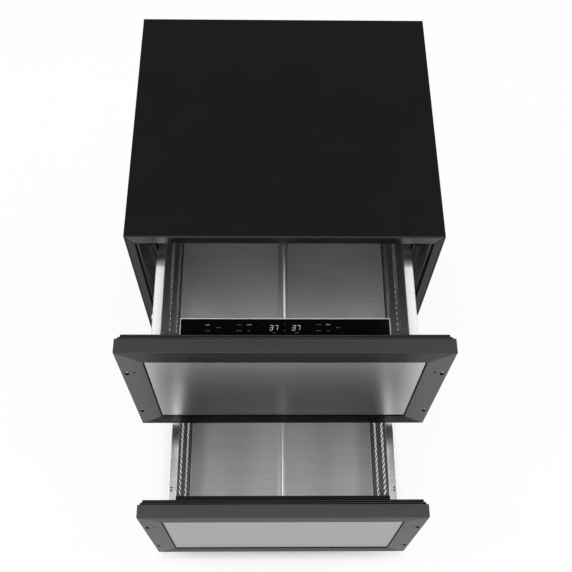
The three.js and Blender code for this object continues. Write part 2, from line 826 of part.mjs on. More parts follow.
// Black channel that carries the cabinet member: a web with two flanges turned to the wall, a
// raised pad for the member, and lugs that reach the liner.
function slideBracket(sign) {
  const pad = slideOuter + fit;
  const web = flangeHalf + bracketClearance;
  const back = web + bracketDepth;
  const top = slideDrop + bracketRise;
  const bottom = slideDrop - bracketFall;
  const padHalf = cabinetMemberHalf - padMargin;
  const outline = [
    [web, bottom], [back, bottom], [back, bottom + bracketSheet],
    [web + bracketSheet, bottom + bracketSheet], [web + bracketSheet, top - bracketSheet],
    [back - bracketCorner, top - bracketSheet], [back - bracketCorner, top],
    [web + bracketCorner / 2, top], [web, top - bracketCorner / 2],
    [web, padHalf], [pad, padHalf], [pad, -padHalf], [web, -padHalf],
  ].map(([x, z]) => [sign * x, z]);
  const channelBar = barAlongY(outline, bracketFront, slideStart + slideLength);
  const lugs = [];
  const lastLug = slideLength - lugLength;
  for (let i = 0; i < lugCount; i += 1) {
    const middle = slideStart + lugFirst + ((lastLug - lugFirst) * i) / (lugCount - 1);
    lugs.push(block(
      [sign * web, sign * (cavityHalf - fit)],
      [middle - lugLength / 2, middle + lugLength / 2],
      [-padHalf, padHalf],
    ));
  }
  return joined([channelBar, ...lugs]);
}

// ---------------------------------------------------------------- drawer pieces

// The visible front: a folded tray of painted steel with a window for the panel.
function frontFrame() {
  const face = -gasketDepth - frontThickness;
  const windowHalf = halfWidth - frontBorder;
  const through = [face - cutPast, face + frontSheet + cutPast];
  const tools = [
    block(
      [frontSheet - halfWidth, halfWidth - frontSheet],
      [face + frontSheet, 0],
      [frontSheet, frontHeight - frontSheet],
    ),
    block([-windowHalf, windowHalf], through, [frontBorder, frontHeight - frontBorder]),
  ];
  for (const [, sign] of sides) {
    for (const z of [frontHeight - keyholeTop, keyholeBottom]) {
      const x = sign * (halfWidth - keyholeInset);
      tools.push(block(
        [x - keyholeWidth / 2, x + keyholeWidth / 2],
        through,
        [z - keyholeHeight / 2, z + keyholeHeight / 2],
      ));
    }
    const pilot = [sign * (halfWidth - pilotInset), 0, frontHeight - pilotTop];
    tools.push(rod(pilotSize / 2, through[0], through[1], pilot, 'y'));
  }
  const tray = block([-halfWidth, halfWidth], [face, -gasketDepth], [0, frontHeight]);
  return cut(tray, tools);
}

function frontPanel() {
  const front = frontSheet + fit - gasketDepth - frontThickness;
  const half = halfWidth - frontBorder + panelLap;
  const low = frontBorder - panelLap;
  return block([-half, half], [front, front + panelSheet], [low, frontHeight - low]);
}

// Foamed core of the front, with a raised back that plugs the space inside the gasket.
function frontCore() {
  const front = frontSheet + panelSheet + 2 * fit - gasketDepth - frontThickness;
  const edge = frontSheet + fit;
  return joined([
    block([edge - halfWidth, halfWidth - edge], [front, -gasketDepth], [edge, frontHeight - edge]),
    block(
      [plugInset - halfWidth, halfWidth - plugInset],
      [-gasketDepth, -fit],
      [plugInset, frontHeight - plugInset],
    ),
  ]);
}

function gasket() {
  const lipBase = -gasketDepth / 2;
  const lip = gasketInset + gasketStep;
  const inner = gasketInset + gasketWidth;
  const ring = (inset, from, to) =>
    block([inset - halfWidth, halfWidth - inset], [from, to], [inset, frontHeight - inset]);
  return cut(
    joined([ring(gasketInset, fit - gasketDepth, lipBase), ring(lip, lipBase, 0)]),
    [ring(inner, -gasketDepth, cutPast)],
  );
}

// Folded steel bin: four walls, a floor, and a flange all round that turns down at the sides.
function bin(length, slotDrops) {
  const back = frontFlange + length;
  const floor = binFloorLift;
  const flangeY = [0, back + rearFlange];
  const solids = [
    block(
      [-binOuterHalf, binOuterHalf],
      [frontFlange - binSheet, back + binSheet],
      [floor - binSheet, flangeZ],
    ),
    block([-flangeHalf, flangeHalf], flangeY, [flangeZ - binSheet, flangeZ]),
  ];
  for (const [, sign] of sides) {
    solids.push(block(
      [sign * (flangeHalf - binSheet), sign * flangeHalf],
      flangeY,
      [flangeZ - flangeLip, flangeZ],
    ));
  }
  const tools = [
    block([-binHalfWidth, binHalfWidth], [frontFlange, back], [floor, flangeZ + cutPast]),
  ];
  const count = Math.floor((length - 2 * slotMargin) / slotPitch) + 1;
  for (const drop of slotDrops) {
    for (let i = 0; i < count; i += 1) {
      const y = frontFlange + length / 2 + (i - (count - 1) / 2) * slotPitch;
      const z = flangeZ - drop;
      tools.push(block(
        [-binOuterHalf - cutPast, binOuterHalf + cutPast],
        [y - slotWidth / 2, y + slotWidth / 2],
        [z - slotHeight / 2, z + slotHeight / 2],
      ));
    }
  }
  return cut(joined(solids), tools);
}

const divider = (length) => block(
  [-dividerThickness / 2, dividerThickness / 2],
  [frontFlange + fit, frontFlange + length - fit],
  [binFloorLift + fit, binFloorLift + dividerHeight],
);

// ---------------------------------------------------------------- the two drawers

function addDrawer(name, open, frontZ, binLength, slotDrops) {
  const drawer = group(refrigerator, -open, frontZ);
  place(drawer, `${name}_front_frame`, frontFrame(), charcoalFace);
  place(drawer, `${name}_front_panel`, frontPanel(), brushedSteel);
  place(drawer, `${name}_front_core`, frontCore(), plasticBlack);
  place(drawer, `${name}_gasket`, gasket(), gasketBlack);
  place(drawer, `${name}_bin`, bin(binLength, slotDrops), brushedSteel);
  place(drawer, `${name}_divider`, divider(binLength), brushedSteel);

  const travelIn = open - gasketCrush;
  const slideZ = flangeZ - slideDrop;
  const onDrawer = group(drawer, 0, slideZ);
  const midway = group(refrigerator, -travelIn / 2, frontZ + slideZ);
  const onCabinet = group(refrigerator, 0, frontZ + slideZ);
  for (const [side, sign] of sides) {
    const names = `${name}_${side}`;
    place(onDrawer, `${names}_drawer_slide`, drawerMember(sign, slideStart + gasketCrush), slideZinc);
    place(midway, `${names}_middle_slide`, middleMember(sign), slideZinc);
    place(onCabinet, `${names}_cabinet_slide`, cabinetMember(sign), slideZinc);
    place(onCabinet, `${names}_slide_bracket`, slideBracket(sign), bracketBlack);
  }
  return drawer;
}

const upperDrawer = addDrawer('upper', upperOpen, upperFrontZ, upperBinLength, upperSlotDrops);
const lowerDrawer = addDrawer('lower', lowerOpen, lowerFrontZ, lowerBinLength, lowerSlotDrops);

// ---------------------------------------------------------------- control panel and trim

const controlTop = frontHeight - controlDrop;
const bezelBottom = controlTop - bezelHeight;
const controlX = [-controlHalfWidth, controlHalfWidth];
const glassX = controlHalfWidth - bezelWall - fit;

place(
  upperDrawer,
  'control_housing',
  block(
    [bezelWall - controlHalfWidth, controlHalfWidth - bezelWall],
    [0, controlDepth - bezelWall],
    [flangeZ + fit, bezelBottom - fit],
  ),
  plasticBlack,
);
place(
  upperDrawer,
  'control_bezel',
  cut(
    block(controlX, [0, controlDepth], [bezelBottom, controlTop]),
    [block(
      [bezelWall - controlHalfWidth, controlHalfWidth - bezelWall],
      [bezelWall, controlDepth - bezelWall],
      [bezelBottom - cutPast, controlTop + cutPast],
    )],
  ),
  bezelSilver,
);
place(
  upperDrawer,
  'control_glass',
  block(
    [-glassX, glassX],
    [bezelWall + fit, controlDepth - bezelWall - fit],
    [controlTop - glassThickness, controlTop],
  ),
  glassBlack,
);
place(
  lowerDrawer,
  'lower_bin_trim',
  block(
    [trimInset - binOuterHalf, binOuterHalf - trimInset],
    [0, frontFlange],
    [flangeZ + fit, flangeZ + fit + trimThickness],
  ),
  plasticBlack,
);

// The whole stands centred between the lower drawer's face and the cabinet's back.
const foremost = -Math.max(upperOpen, lowerOpen) - gasketDepth - frontThickness;
refrigerator.position.y = -(foremost + cabinetDepth) / 2;

export default refrigerator;
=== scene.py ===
import math

import bmesh
import bpy
from mathutils import Matrix, Vector


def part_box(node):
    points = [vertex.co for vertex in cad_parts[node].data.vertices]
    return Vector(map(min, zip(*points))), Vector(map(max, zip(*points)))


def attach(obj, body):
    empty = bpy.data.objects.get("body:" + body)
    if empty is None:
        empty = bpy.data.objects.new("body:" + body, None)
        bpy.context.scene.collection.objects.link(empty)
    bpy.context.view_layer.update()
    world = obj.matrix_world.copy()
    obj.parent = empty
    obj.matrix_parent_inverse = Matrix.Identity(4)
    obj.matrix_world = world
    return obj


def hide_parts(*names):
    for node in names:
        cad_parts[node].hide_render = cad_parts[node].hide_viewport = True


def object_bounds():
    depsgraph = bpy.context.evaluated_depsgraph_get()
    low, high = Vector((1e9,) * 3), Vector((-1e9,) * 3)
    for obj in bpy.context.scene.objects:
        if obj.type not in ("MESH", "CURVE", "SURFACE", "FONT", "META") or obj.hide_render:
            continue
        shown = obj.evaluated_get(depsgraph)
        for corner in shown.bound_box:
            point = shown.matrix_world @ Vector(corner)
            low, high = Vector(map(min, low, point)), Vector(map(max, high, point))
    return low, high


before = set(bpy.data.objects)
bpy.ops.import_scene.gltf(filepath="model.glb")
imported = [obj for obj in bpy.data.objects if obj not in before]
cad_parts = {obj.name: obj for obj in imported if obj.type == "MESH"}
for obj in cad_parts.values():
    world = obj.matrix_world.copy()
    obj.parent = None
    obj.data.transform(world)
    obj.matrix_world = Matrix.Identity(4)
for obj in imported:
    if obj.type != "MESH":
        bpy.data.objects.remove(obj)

cad_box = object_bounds()
mm = 0.001

# ---------------------------------------------------------------- camera
# The refrigerator is seen from above and in front, so that the lens looks down into both
# drawers. The camera is turned a little to the right and leans a little to its left.
down, lean, turn = math.radians(62.689), math.radians(1.884), math.radians(2.029)
ahead = Vector((math.sin(turn) * math.cos(down), math.cos(turn) * math.cos(down), -math.sin(down)))
level = Vector((math.cos(turn), -math.sin(turn), 0))
upright = level.cross(ahead)
across = level * math.cos(lean) + upright * math.sin(lean)
upwards = upright * math.cos(lean) - level * math.sin(lean)

camera_data = bpy.data.cameras.new("camera")
camera_data.sensor_width = 36
camera_data.lens = 52.99
camera_data.clip_start = 0.05
camera = bpy.data.objects.new("camera", camera_data)
bpy.context.scene.collection.objects.link(camera)
camera.matrix_world = (Matrix.Translation((-0.023737, -0.861856, 2.230087))
                       @ Matrix((across, upwards, -ahead)).transposed().to_4x4())
bpy.context.scene.camera = camera


# ---------------------------------------------------------------- studio
# A white floor that runs out to a white surround with a grey ceiling behind, under four large
# soft boxes and two strips. The floor keeps the refrigerator's shadow, but its white glow is
# painted by place: weaker near the footprint and weakest along the front edge, so the shadow
# shows deepest under the front and is washed out farther off.
class Wire:
    """A socket's value that can be reckoned with like a number."""

    def __init__(self, finish, socket):
        self.finish, self.socket = finish, socket

    def at(self, name):
        return Wire(self.finish, self.socket.node.outputs[name])

    def maths(self, operation, *values):
        sockets = dict(enumerate(values))
        return self.finish.put("Math", {"operation": operation}, sockets)

    def __add__(self, other):
        return self.maths("ADD", self, other)

    def __sub__(self, other):
        return self.maths("SUBTRACT", self, other)

    def __rsub__(self, other):
        return self.maths("SUBTRACT", other, self)

    def __mul__(self, other):
        return self.maths("MULTIPLY", self, other)

    def __truediv__(self, other):
        return self.maths("DIVIDE", self, other)

    def __gt__(self, other):
        return self.maths("GREATER_THAN", self, other)

    def __lt__(self, other):
        return self.maths("LESS_THAN", self, other)

    def __abs__(self):
        return self.maths("ABSOLUTE", self)

    def larger(self, other):
        return self.maths("MAXIMUM", self, other)

    def smaller(self, other):
        return self.maths("MINIMUM", self, other)

    __radd__, __rmul__ = __add__, __mul__


class Finish:
    """The nodes of a material or of the world."""

    def __init__(self, owner):
        owner.use_nodes = True
        self.owner, self.tree = owner, owner.node_tree
        self.tree.nodes.clear()

    def put(self, kind, settings=(), sockets=(), out=0):
        node = self.tree.nodes.new("ShaderNode" + kind)
        for key, value in dict(settings).items():
            setattr(node, key, value)
        for key, value in dict(sockets).items():
            if isinstance(value, Wire):
                self.tree.links.new(value.socket, node.inputs[key])
            else:
                node.inputs[key].default_value = value
        return Wire(self, node.outputs[out]) if node.outputs else None

    def axes(self, kind="Object"):
        """The X of a texture coordinate, which leads to its Y and Z."""
        return self.put("SeparateXYZ", {}, {"Vector": self.put("TexCoord", out=kind)})

    def seen(self):
        """1 for the rays that show a background: camera, glossy and transmission rays."""
        path = self.put("LightPath", out="Is Camera Ray")
        return path.larger(path.at("Is Glossy Ray")).larger(path.at("Is Transmission Ray"))


def tone(code):
    """A colour from six hex digits, as the linear values that a socket takes."""
    steps = [int(code[i:i + 2], 16) / 255 for i in (0, 2, 4)]
    return [*(s / 12.92 if s <= 0.04045 else ((s + 0.055) / 1.055) ** 2.4 for s in steps), 1.0]


bpy.context.scene.view_settings.view_transform = "Standard"
if bpy.context.scene.world is None:
    bpy.context.scene.world = bpy.data.worlds.new("surround")
surround = Finish(bpy.context.scene.world)
sky = surround.axes("Generated")
high = ((sky.at("Z") - 0.45) / 0.4).larger(0.0).smaller(1.0)
behind = ((sky.at("Y") + 0.1) / 0.3).larger(0.0).smaller(1.0)
white_or_ceiling = surround.put("MixShader", {}, {
    0: high * behind,
    1: surround.put("Background", {}, {"Color": tone("ffffff"), "Strength": 1.0}),
    2: surround.put("Background", {}, {"Color": tone("606060"), "Strength": 1.0}),
})
surround.put("OutputWorld", {}, {"Surface": surround.put("MixShader", {}, {
    0: surround.seen(),
    1: surround.put("Background", {}, {"Color": tone("ffffff"), "Strength": 0.62}),
    2: white_or_ceiling,
})})

floor_reach = 9.0
floor_under, floor_open, floor_front = 0.6, 0.88, 0.05  # share of the floor that is plain white
floor_fade, front_reach = 0.02, 0.08
floor_shape = bmesh.new()
bmesh.ops.create_grid(floor_shape, x_segments=1, y_segments=1, size=floor_reach)
floor_mesh = bpy.data.meshes.new("floor")
floor_shape.to_mesh(floor_mesh)
floor_shape.free()
floor = bpy.data.objects.new("floor", floor_mesh)
bpy.context.scene.collection.objects.link(floor)

floor_paint = Finish(bpy.data.materials.new("floor_paint"))
ground = floor_paint.axes()
# The floor's white glow is painted by place: less of it near the footprint and least in a strip
# along the front edge, so the lamps' shadow shows there and is washed out elsewhere.
beside = abs(ground) - cad_box[1][0]
before = abs(ground.at("Y")) - cad_box[1][1]
away = (beside.larger(before) / floor_fade).larger(0.0).smaller(1.0)
front_side = ((before + front_reach) / floor_fade).larger(0.0).smaller(1.0)
open_side = ((0.4 * floor_fade - before) / floor_fade).larger(0.0).smaller(1.0)
under_front = front_side * open_side * (beside < 0.0)
whiteness = away * (floor_open - floor_under) + floor_under
floor_paint.put("OutputMaterial", {}, {"Surface": floor_paint.put("MixShader", {}, {
    0: floor_paint.seen() * (whiteness * (1 - under_front) + under_front * floor_front),
    1: floor_paint.put("BsdfDiffuse", {}, {"Color": tone("f9f9f9")}),
    2: floor_paint.put("Emission", {}, {"Color": tone("ffffff"), "Strength": 1.0}),
})})
floor_mesh.materials.append(floor_paint.owner)


def soft_box(name, place, aim, width, length, watts):
    lamp_data = bpy.data.lights.new(name, "AREA")
    lamp_data.shape, lamp_data.energy = "RECTANGLE", watts
    lamp_data.size, lamp_data.size_y = width, length
    lamp = bpy.data.objects.new(name, lamp_data)
    bpy.context.scene.collection.objects.link(lamp)
    lamp.location = place
    lamp.rotation_euler = (Vector(aim) - Vector(place)).to_track_quat("-Z", "Y").to_euler()
    lamp.visible_camera = False


soft_box("left_box", (-1.9, -0.3, 2.5), (0, -0.1, 0.5), 1.5, 1.5, 26)
soft_box("right_box", (1.9, 0.0, 2.4), (0, -0.1, 0.5), 1.5, 1.5, 22)
soft_box("front_box", (-0.2, -2.1, 2.5), (0, -0.2, 0.4), 1.3, 1.3, 12)
soft_box("overhead_box", (0, -0.5, 2.9), (0, -0.5, 0), 1.3, 1.3, 7)
soft_box("left_strip", (-0.68, 0.78, 2.85), (-0.68, 0.78, 0), 0.44, 0.8, 1.75)
soft_box("right_strip", (0.7, 0.78, 2.85), (0.7, 0.78, 0), 0.44, 0.8, 1.6)


# ---------------------------------------------------------------- base pan
# A shallow pan of galvanised steel closes the bottom, with a drain tray between the control
# module and the condenser. Everything in the machine space stands on it.
def spot(finish, stretch=(1, 1, 1), turned=(0, 0, 0)):
    """Object coordinates, stretched and turned."""
    here = finish.put("TexCoord", out="Object")
    return finish.put("Mapping", {}, {"Vector": here, "Scale": stretch, "Rotation": turned})


def noise(finish, scale, detail=3.0, rough=0.5, stretch=(1, 1, 1)):
    return finish.put("TexNoise", {}, {
        "Vector": spot(finish, stretch), "Scale": scale, "Detail": detail, "Roughness": rough,
    })


def blend(finish, share, first, second):
    """One colour passing into another."""
    return finish.put("Mix", {"data_type": "RGBA"}, {0: share, 6: first, 7: second}, out=2)


def bump(finish, height, depth, strength=1.0):
    return finish.put("Bump", {}, {"Height": height, "Distance": depth, "Strength": strength})


def coated(finish, sockets):
    """Close a material with its surface shader."""
    shader = finish.put("BsdfPrincipled", {}, sockets)
    finish.put("OutputMaterial", {}, {"Surface": shader})
    return finish.owner


def new_finish(name):
    return Finish(bpy.data.materials.new(name))


def slab(lo, hi, rounding=0.0, segments=2):
    """A block between two corners, with its edges rounded."""
    shape = bmesh.new()
    lo, hi = Vector(lo), Vector(hi)
    place = Matrix.LocRotScale((lo + hi) / 2, None, hi - lo)
    bmesh.ops.create_cube(shape, size=1, matrix=place)
    if rounding:
        round_off(shape, rounding, segments)
    return shape


def round_off(shape, width, segments=2, wanted=None):
    """Round sharp edges, or those that wanted() picks by their middle and direction."""
    sharp = []
    for edge in shape.edges:
        if len(edge.link_faces) != 2 or edge.calc_face_angle(0) < 0.5:
            continue
        a, b = (vert.co for vert in edge.verts)
        if wanted is None or wanted((a + b) / 2, (b - a).normalized()):
            sharp.append(edge)
    bmesh.ops.bevel(shape, geom=sharp, offset=width, offset_type="OFFSET", segments=segments,
                    profile=0.5, affect="EDGES", clamp_overlap=True, material=-1)


def softened(node, width, segments=2, wanted=None):
    """A copy of a solid, merged and freed of spare edges, with its edges rounded."""
    shape = bmesh.new()
    shape.from_mesh(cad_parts[node].data)
    bmesh.ops.remove_doubles(shape, verts=shape.verts, dist=1e-5)
    bmesh.ops.dissolve_limit(shape, angle_limit=math.radians(1), verts=shape.verts,
                             edges=shape.edges)
    round_off(shape, width, segments, wanted)
    return shape


def joined(*shapes):
    """Several shapes as one."""
    for extra in shapes[1:]:
        spare = bpy.data.meshes.new("spare")
        extra.to_mesh(spare)
        extra.free()
        shapes[0].from_mesh(spare)
        bpy.data.meshes.remove(spare)
    return shapes[0]


def set_in(name, shape, finish, body, slot, *nodes, sharp=35):
    """Make a shape a piece of the refrigerator, on a body and in place of its nodes."""
    mesh = bpy.data.meshes.new(name)
    shape.to_mesh(mesh)
    shape.free()
    mesh.materials.append(finish)
    mesh.shade_smooth()
    mesh.set_sharp_from_angle(angle=math.radians(sharp))
    part = bpy.data.objects.new(name, mesh)
    bpy.context.scene.collection.objects.link(part)
    part.modifiers.new("flat_faces", "WEIGHTED_NORMAL").keep_sharp = True
    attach(part, body)
    if nodes:
        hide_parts(*nodes)
    return part


def dress(name, node, rounding, finish, body, slot, segments=2):
    """A piece that is its solid with softened edges, rounded by some millimetres."""
    return set_in(name, softened(node, rounding * mm, segments), finish, body, slot, node)


def galvanised_finish():
    zinc = new_finish("galvanised_steel")
    crystals = zinc.put("TexVoronoi", {"feature": "F1"}, {
        "Vector": spot(zinc), "Scale": 150.0, "Randomness": 1.0,
    }, out="Color")
    grain = zinc.put("SeparateColor", {}, {"Color": crystals}) * 0.6 + noise(zinc, 35.0) * 0.4
    return coated(zinc, {
        "Base Color": blend(zinc, grain, tone("888e92"), tone("b2b7ba")),
        "Metallic": 1.0, "Roughness": grain * 0.2 + 0.32,
        "Normal": bump(zinc, grain, 0.05 * mm),
    })


galvanised = galvanised_finish()
dress("base_pan_steel", "base_pan", 0.4, galvanised, "cabinet", "galvanised_steel")


# ---------------------------------------------------------------- levelling feet
# Four feet of moulded plastic, each on a threaded stem with a hexagon to turn it by.
# The stem screws into the base pan.
def turned(profile, steps=48):
    """Spin an outline of (radius, height) points in millimetres about the upright axis."""
    shape = bmesh.new()
    points = [shape.verts.new((radius * mm, 0, height * mm)) for radius, height in profile]
    edges = [shape.edges.new(pair) for pair in zip(points, points[1:])]
    bmesh.ops.spin(shape, geom=points + edges, cent=(0, 0, 0), axis=(0, 0, 1),
                   angle=2 * math.pi, steps=steps, use_merge=True)
    bmesh.ops.remove_doubles(shape, verts=shape.verts, dist=1e-6)
    bmesh.ops.recalc_face_normals(shape, faces=shape.faces)
    return shape


def moved(shape, place, axis="Z"):
    """Lay a turned shape along an axis and take it to its place."""
    lay = {"X": Matrix.Rotation(math.pi / 2, 4, "Y"), "Y": Matrix.Rotation(-math.pi / 2, 4, "X"),
           "-Y": Matrix.Rotation(math.pi / 2, 4, "X"), "Z": Matrix.Identity(4)}[axis]
    bmesh.ops.transform(shape, matrix=Matrix.Translation(place) @ lay, verts=shape.verts)
    return shape


def even_finish(name, grain, mottling, tones, rough, relief, more=()):
    """A finish of nearly one tone, from the scales and details of two noises: a fine grain
    that sets roughness and relief (in millimetres), and a mottling between a dark and a light
    tone. Roughness is given by its least value and its spread."""
    finish = new_finish(name)
    fine = noise(finish, *grain)
    return coated(finish, {
        "Base Color": blend(finish, noise(finish, *mottling), *(tone(code) for code in tones)),
        "Roughness": fine * rough[1] + rough[0],
        "Normal": bump(finish, fine, relief * mm), **dict(more),
    })


foot_plastic = even_finish("foot_plastic", (900, 4), (30,), ("242425", "353536"), (0.5, 0.2), 0.08)
for corner in ("front_left", "front_right", "back_left", "back_right"):
    lo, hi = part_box(f"foot_{corner}")
    middle = (lo + hi) / 2
    foot = turned([
        (0, 0), (16.5, 0), (17, 0.8), (18.4, 1.2), (19, 2.2), (19, 4.6), (18.2, 6), (15, 6.6),
        (11.5, 7.2), (10, 8), (8.4, 8.6), (8.4, 9.2), (0, 9.2),
    ], 40)
    nut = bmesh.new()
    bmesh.ops.create_cone(nut, cap_ends=True, segments=6, radius1=9 * mm, radius2=9 * mm,
                          depth=10.6 * mm, matrix=Matrix.Translation((0, 0, 14.3 * mm)))
    round_off(nut, 0.5 * mm)
    threads = []
    for i in range(20):
        threads += [(4.3, 19.8 + 1.25 * i), (5.0, 20.4 + 1.25 * i)]
    stem = turned([(0, 19.2), (4.3, 19.2), *threads, (3.8, 45), (0, 45)], 24)
    foot = moved(joined(foot, nut, stem), (middle.x, middle.y, 0))
    set_in(f"levelling_foot_{corner}", foot, foot_plastic, f"foot_{corner}", "foot_plastic",
           f"foot_{corner}")

# ---------------------------------------------------------------- compressor
# A hermetic compressor: two drawn steel bowls welded at a seam and dipped in black enamel. It
# stands on a plate with four round mounts, and a cover hides its terminals.
enamel = even_finish("compressor_enamel", (260, 2), (18,), ("101011", "1c1c1e"), (0.25, 0.15),
                     0.15, {"Coat Weight": 0.3})
lo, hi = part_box("compressor")
compressor_axis = Vector(((lo.x + hi.x) / 2, (lo.y + hi.y) / 2, 0))
plate_top = lo.z + 15 * mm
shell = moved(turned([
    (0, 15), (44, 15), (52, 18), (57, 24), (58, 30), (58, 80), (60, 81), (60, 84), (58, 85),
    (58, 124), (56, 134), (50, 143), (40, 150), (26, 154), (10, 155), (0, 155),
], 56), (compressor_axis.x, compressor_axis.y, lo.z))
plate = slab((lo.x, compressor_axis.y - 46 * mm, lo.z + 12 * mm),
             (hi.x, compressor_axis.y + 46 * mm, plate_top), 1 * mm)
terminal_cover = slab((compressor_axis.x + 52 * mm, compressor_axis.y - 22 * mm, lo.z + 70 * mm),
                      (compressor_axis.x + 68 * mm, compressor_axis.y + 22 * mm, lo.z + 118 * mm),
                      3 * mm, 3)
mounts = []
for side in (-1, 1):
    for end in (-1, 1):
        mounts.append(moved(turned([
            (0, 0), (8, 0), (8, 3.4), (6.6, 4.2), (6.6, 5.6), (8, 6.4), (8, 12), (3.5, 12),
            (3.5, 16.5), (5.2, 17), (5.2, 18.6), (4.4, 19.6), (0, 19.6),
        ], 24), compressor_axis + Vector((side * 55 * mm, end * 38 * mm, lo.z))))
set_in("compressor_shell", joined(shell, plate, terminal_cover, *mounts), enamel, "cabinet",
       "compressor_black", "compressor")

# ---------------------------------------------------------------- condenser
# Aluminium fins pressed on to an aluminium tube that turns back and forth through them. The
# fan beside it draws air through it, from the toe grille to the louvres.
aluminium = new_finish("fin_aluminium")
rolling = noise(aluminium, 60.0, 4.0, 0.6, (1, 1, 12))
aluminium = coated(aluminium, {
    "Base Color": blend(aluminium, rolling, tone("9fa3a5"), tone("c6cacc")),
    "Metallic": 1.0, "Roughness": rolling * 0.2 + 0.3,
    "Normal": bump(aluminium, rolling, 0.04 * mm),
})


def finned_coil(lo, hi, axis, pitch, rows, columns, bend):
    """Fins across an axis, two end plates, and a tube that runs back and forth along it."""
    tube = 3.5 * mm
    side = {"X": 1, "Y": 0}[axis]
    long = {"X": 0, "Y": 1}[axis]
    start, end = lo[long] + bend, hi[long] - bend
    count = int((end - start) / pitch)
    parts = []
    for i in range(count + 1):
        at = start + (end - start) * i / count
        half = 0.6 * mm if i in (0, count) else 0.15 * mm
        a, b = lo.copy(), hi.copy()
        a[long], b[long] = at - half, at + half
        parts.append(slab(a, b))
    step_z, step_s = (hi.z - lo.z) / rows, (hi[side] - lo[side]) / columns
    for column in range(columns):
        for row in range(rows):
            centre = Vector((0, 0, lo.z + step_z * (row + 0.5)))
            centre[side] = lo[side] + step_s * (column + 0.5)
            centre[long] = (lo[long] + hi[long]) / 2
            run = end - start + 2 * mm
            rod = bmesh.new()
            bmesh.ops.create_cone(rod, cap_ends=True, segments=12, radius1=tube, radius2=tube,
                                  depth=run)
            parts.append(moved(rod, centre, axis))
            if row + 1 < rows:
                away = 1 if (row + column) % 2 else -1
                parts.append(u_bend(centre, axis, long, away, run / 2, step_z / 2, tube))
    return joined(*parts)


def u_bend(centre, axis, long, away, reach, radius, tube):
    """Half a ring of tube that joins one run of the coil to the run above it."""
    shape = bmesh.new()
    ring = bmesh.ops.create_circle(shape, segments=10, radius=tube,
                                   matrix=Matrix.Translation((radius, 0, 0)))["verts"]
    edges = list({edge for vert in ring for edge in vert.link_edges})
    bmesh.ops.spin(shape, geom=ring + edges, cent=(0, 0, 0), axis=(0, 1, 0), angle=-math.pi,
                   steps=8)
    bmesh.ops.recalc_face_normals(shape, faces=shape.faces)
    facing = {("X", 1): 0, ("X", -1): math.pi, ("Y", 1): math.pi / 2,
              ("Y", -1): -math.pi / 2}[axis, away]
    stand = Matrix.Rotation(facing, 4, "Z") @ Matrix.Rotation(math.pi / 2, 4, "Y")
    place = centre + Vector((0, 0, radius))
    place[long] += away * reach
    bmesh.ops.transform(shape, matrix=Matrix.Translation(place) @ stand, verts=shape.verts)
    return shape


lo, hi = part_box("condenser_coil")
set_in("condenser_fins", finned_coil(lo, hi, "Y", 4 * mm, 7, 2, 15 * mm), aluminium, "cabinet",
       "fin_aluminium", "condenser_coil")

# ---------------------------------------------------------------- condenser fan
# A five-bladed plastic fan on its motor's shaft. The motor is held in the middle of a moulded
# shroud by two crossed struts, close against the condenser.
fan_plastic = even_finish("fan_plastic", (700,), (25,), ("4d5053", "5d6063"), (0.42, 0.2), 0.06)
black_plastic = even_finish("black_plastic", (1100, 4), (20,), ("09090a", "111112"), (0.4, 0.2),
                            0.08, {"Specular IOR Level": 0.12})


def fan_wheel(blades=5):
    """A fan about the upright axis, with its hub from 1 to 15 mm up."""
    hub = turned([
        (2.9, 2), (2.9, 15), (5, 15), (5, 12), (11, 12), (11, 14.4), (12, 15), (13.4, 14.6),
        (14, 13.6), (14, 2.4), (13.2, 1.2), (12, 1), (4.4, 1), (2.9, 2),
    ], 40)
    parts = [hub]
    for i in range(blades):
        blade = bmesh.new()
        bmesh.ops.create_grid(blade, x_segments=8, y_segments=6, size=0.5)
        for vert in blade.verts:
            out, over = vert.co.x + 0.5, vert.co.y
            radius = (12.5 + 28.5 * out) * mm
            chord = (17 + 9 * out) * (1 - 0.5 * out ** 6 * (2 * over) ** 2) * mm
            pitch = math.radians(38 - 16 * out)
            lift = (8 - 3.5 * (4 * over * over - 0.4) * 0.4) * mm
            along = over * chord
            vert.co = (radius, along * math.cos(pitch), lift + along * math.sin(pitch))
        bmesh.ops.solidify(blade, geom=blade.faces[:], thickness=1.5 * mm)
        round_off(blade, 0.4 * mm)
        around = Matrix.Rotation(i * math.tau / blades, 3, "Z")
        bmesh.ops.rotate(blade, cent=(0, 0, 0), matrix=around, verts=blade.verts)
        parts.append(blade)
    return joined(*parts)


lo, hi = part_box("condenser_fan")
condenser_axis = Vector((lo.x - 1 * mm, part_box("condenser_fan_mount")[0].y / 2
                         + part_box("condenser_fan_mount")[1].y / 2, 110.75 * mm))
set_in("condenser_fan_wheel", moved(fan_wheel(), condenser_axis, "X"), black_plastic,
       "condenser_fan", "black_plastic", "condenser_fan")
dress("condenser_fan_shroud", "condenser_fan_mount", 0.7, fan_plastic, "cabinet", "fan_grey")

# ---------------------------------------------------------------- control module and mains inlet
# The control module is a moulded box on the base pan. The mains inlet snaps into the rear
# cover, with three flat pins in its socket.
lo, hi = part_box("control_module")
module = softened("control_module", 2.5 * mm, 3)
ribs = [slab((lo.x + 6 * mm + i * 13 * mm, lo.y + 4 * mm, hi.z - 0.5 * mm),
             (lo.x + 13 * mm + i * 13 * mm, hi.y - 4 * mm, hi.z + 0.8 * mm), 0.3 * mm)
        for i in range(6)]
set_in("control_module_box", joined(module, *ribs), black_plastic, "cabinet", "black_plastic",
       "control_module")
lo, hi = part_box("power_inlet")
middle = (lo + hi) / 2
pins = [slab(middle + Vector((x - 1, -12, -3)) * mm, middle + Vector((x + 1, 9, 3)) * mm, 0.3 * mm)
        for x in (-6.5, 0, 6.5)]
set_in("mains_inlet", joined(softened("power_inlet", 0.5 * mm), *pins), black_plastic, "cabinet",
       "black_plastic", "power_inlet")

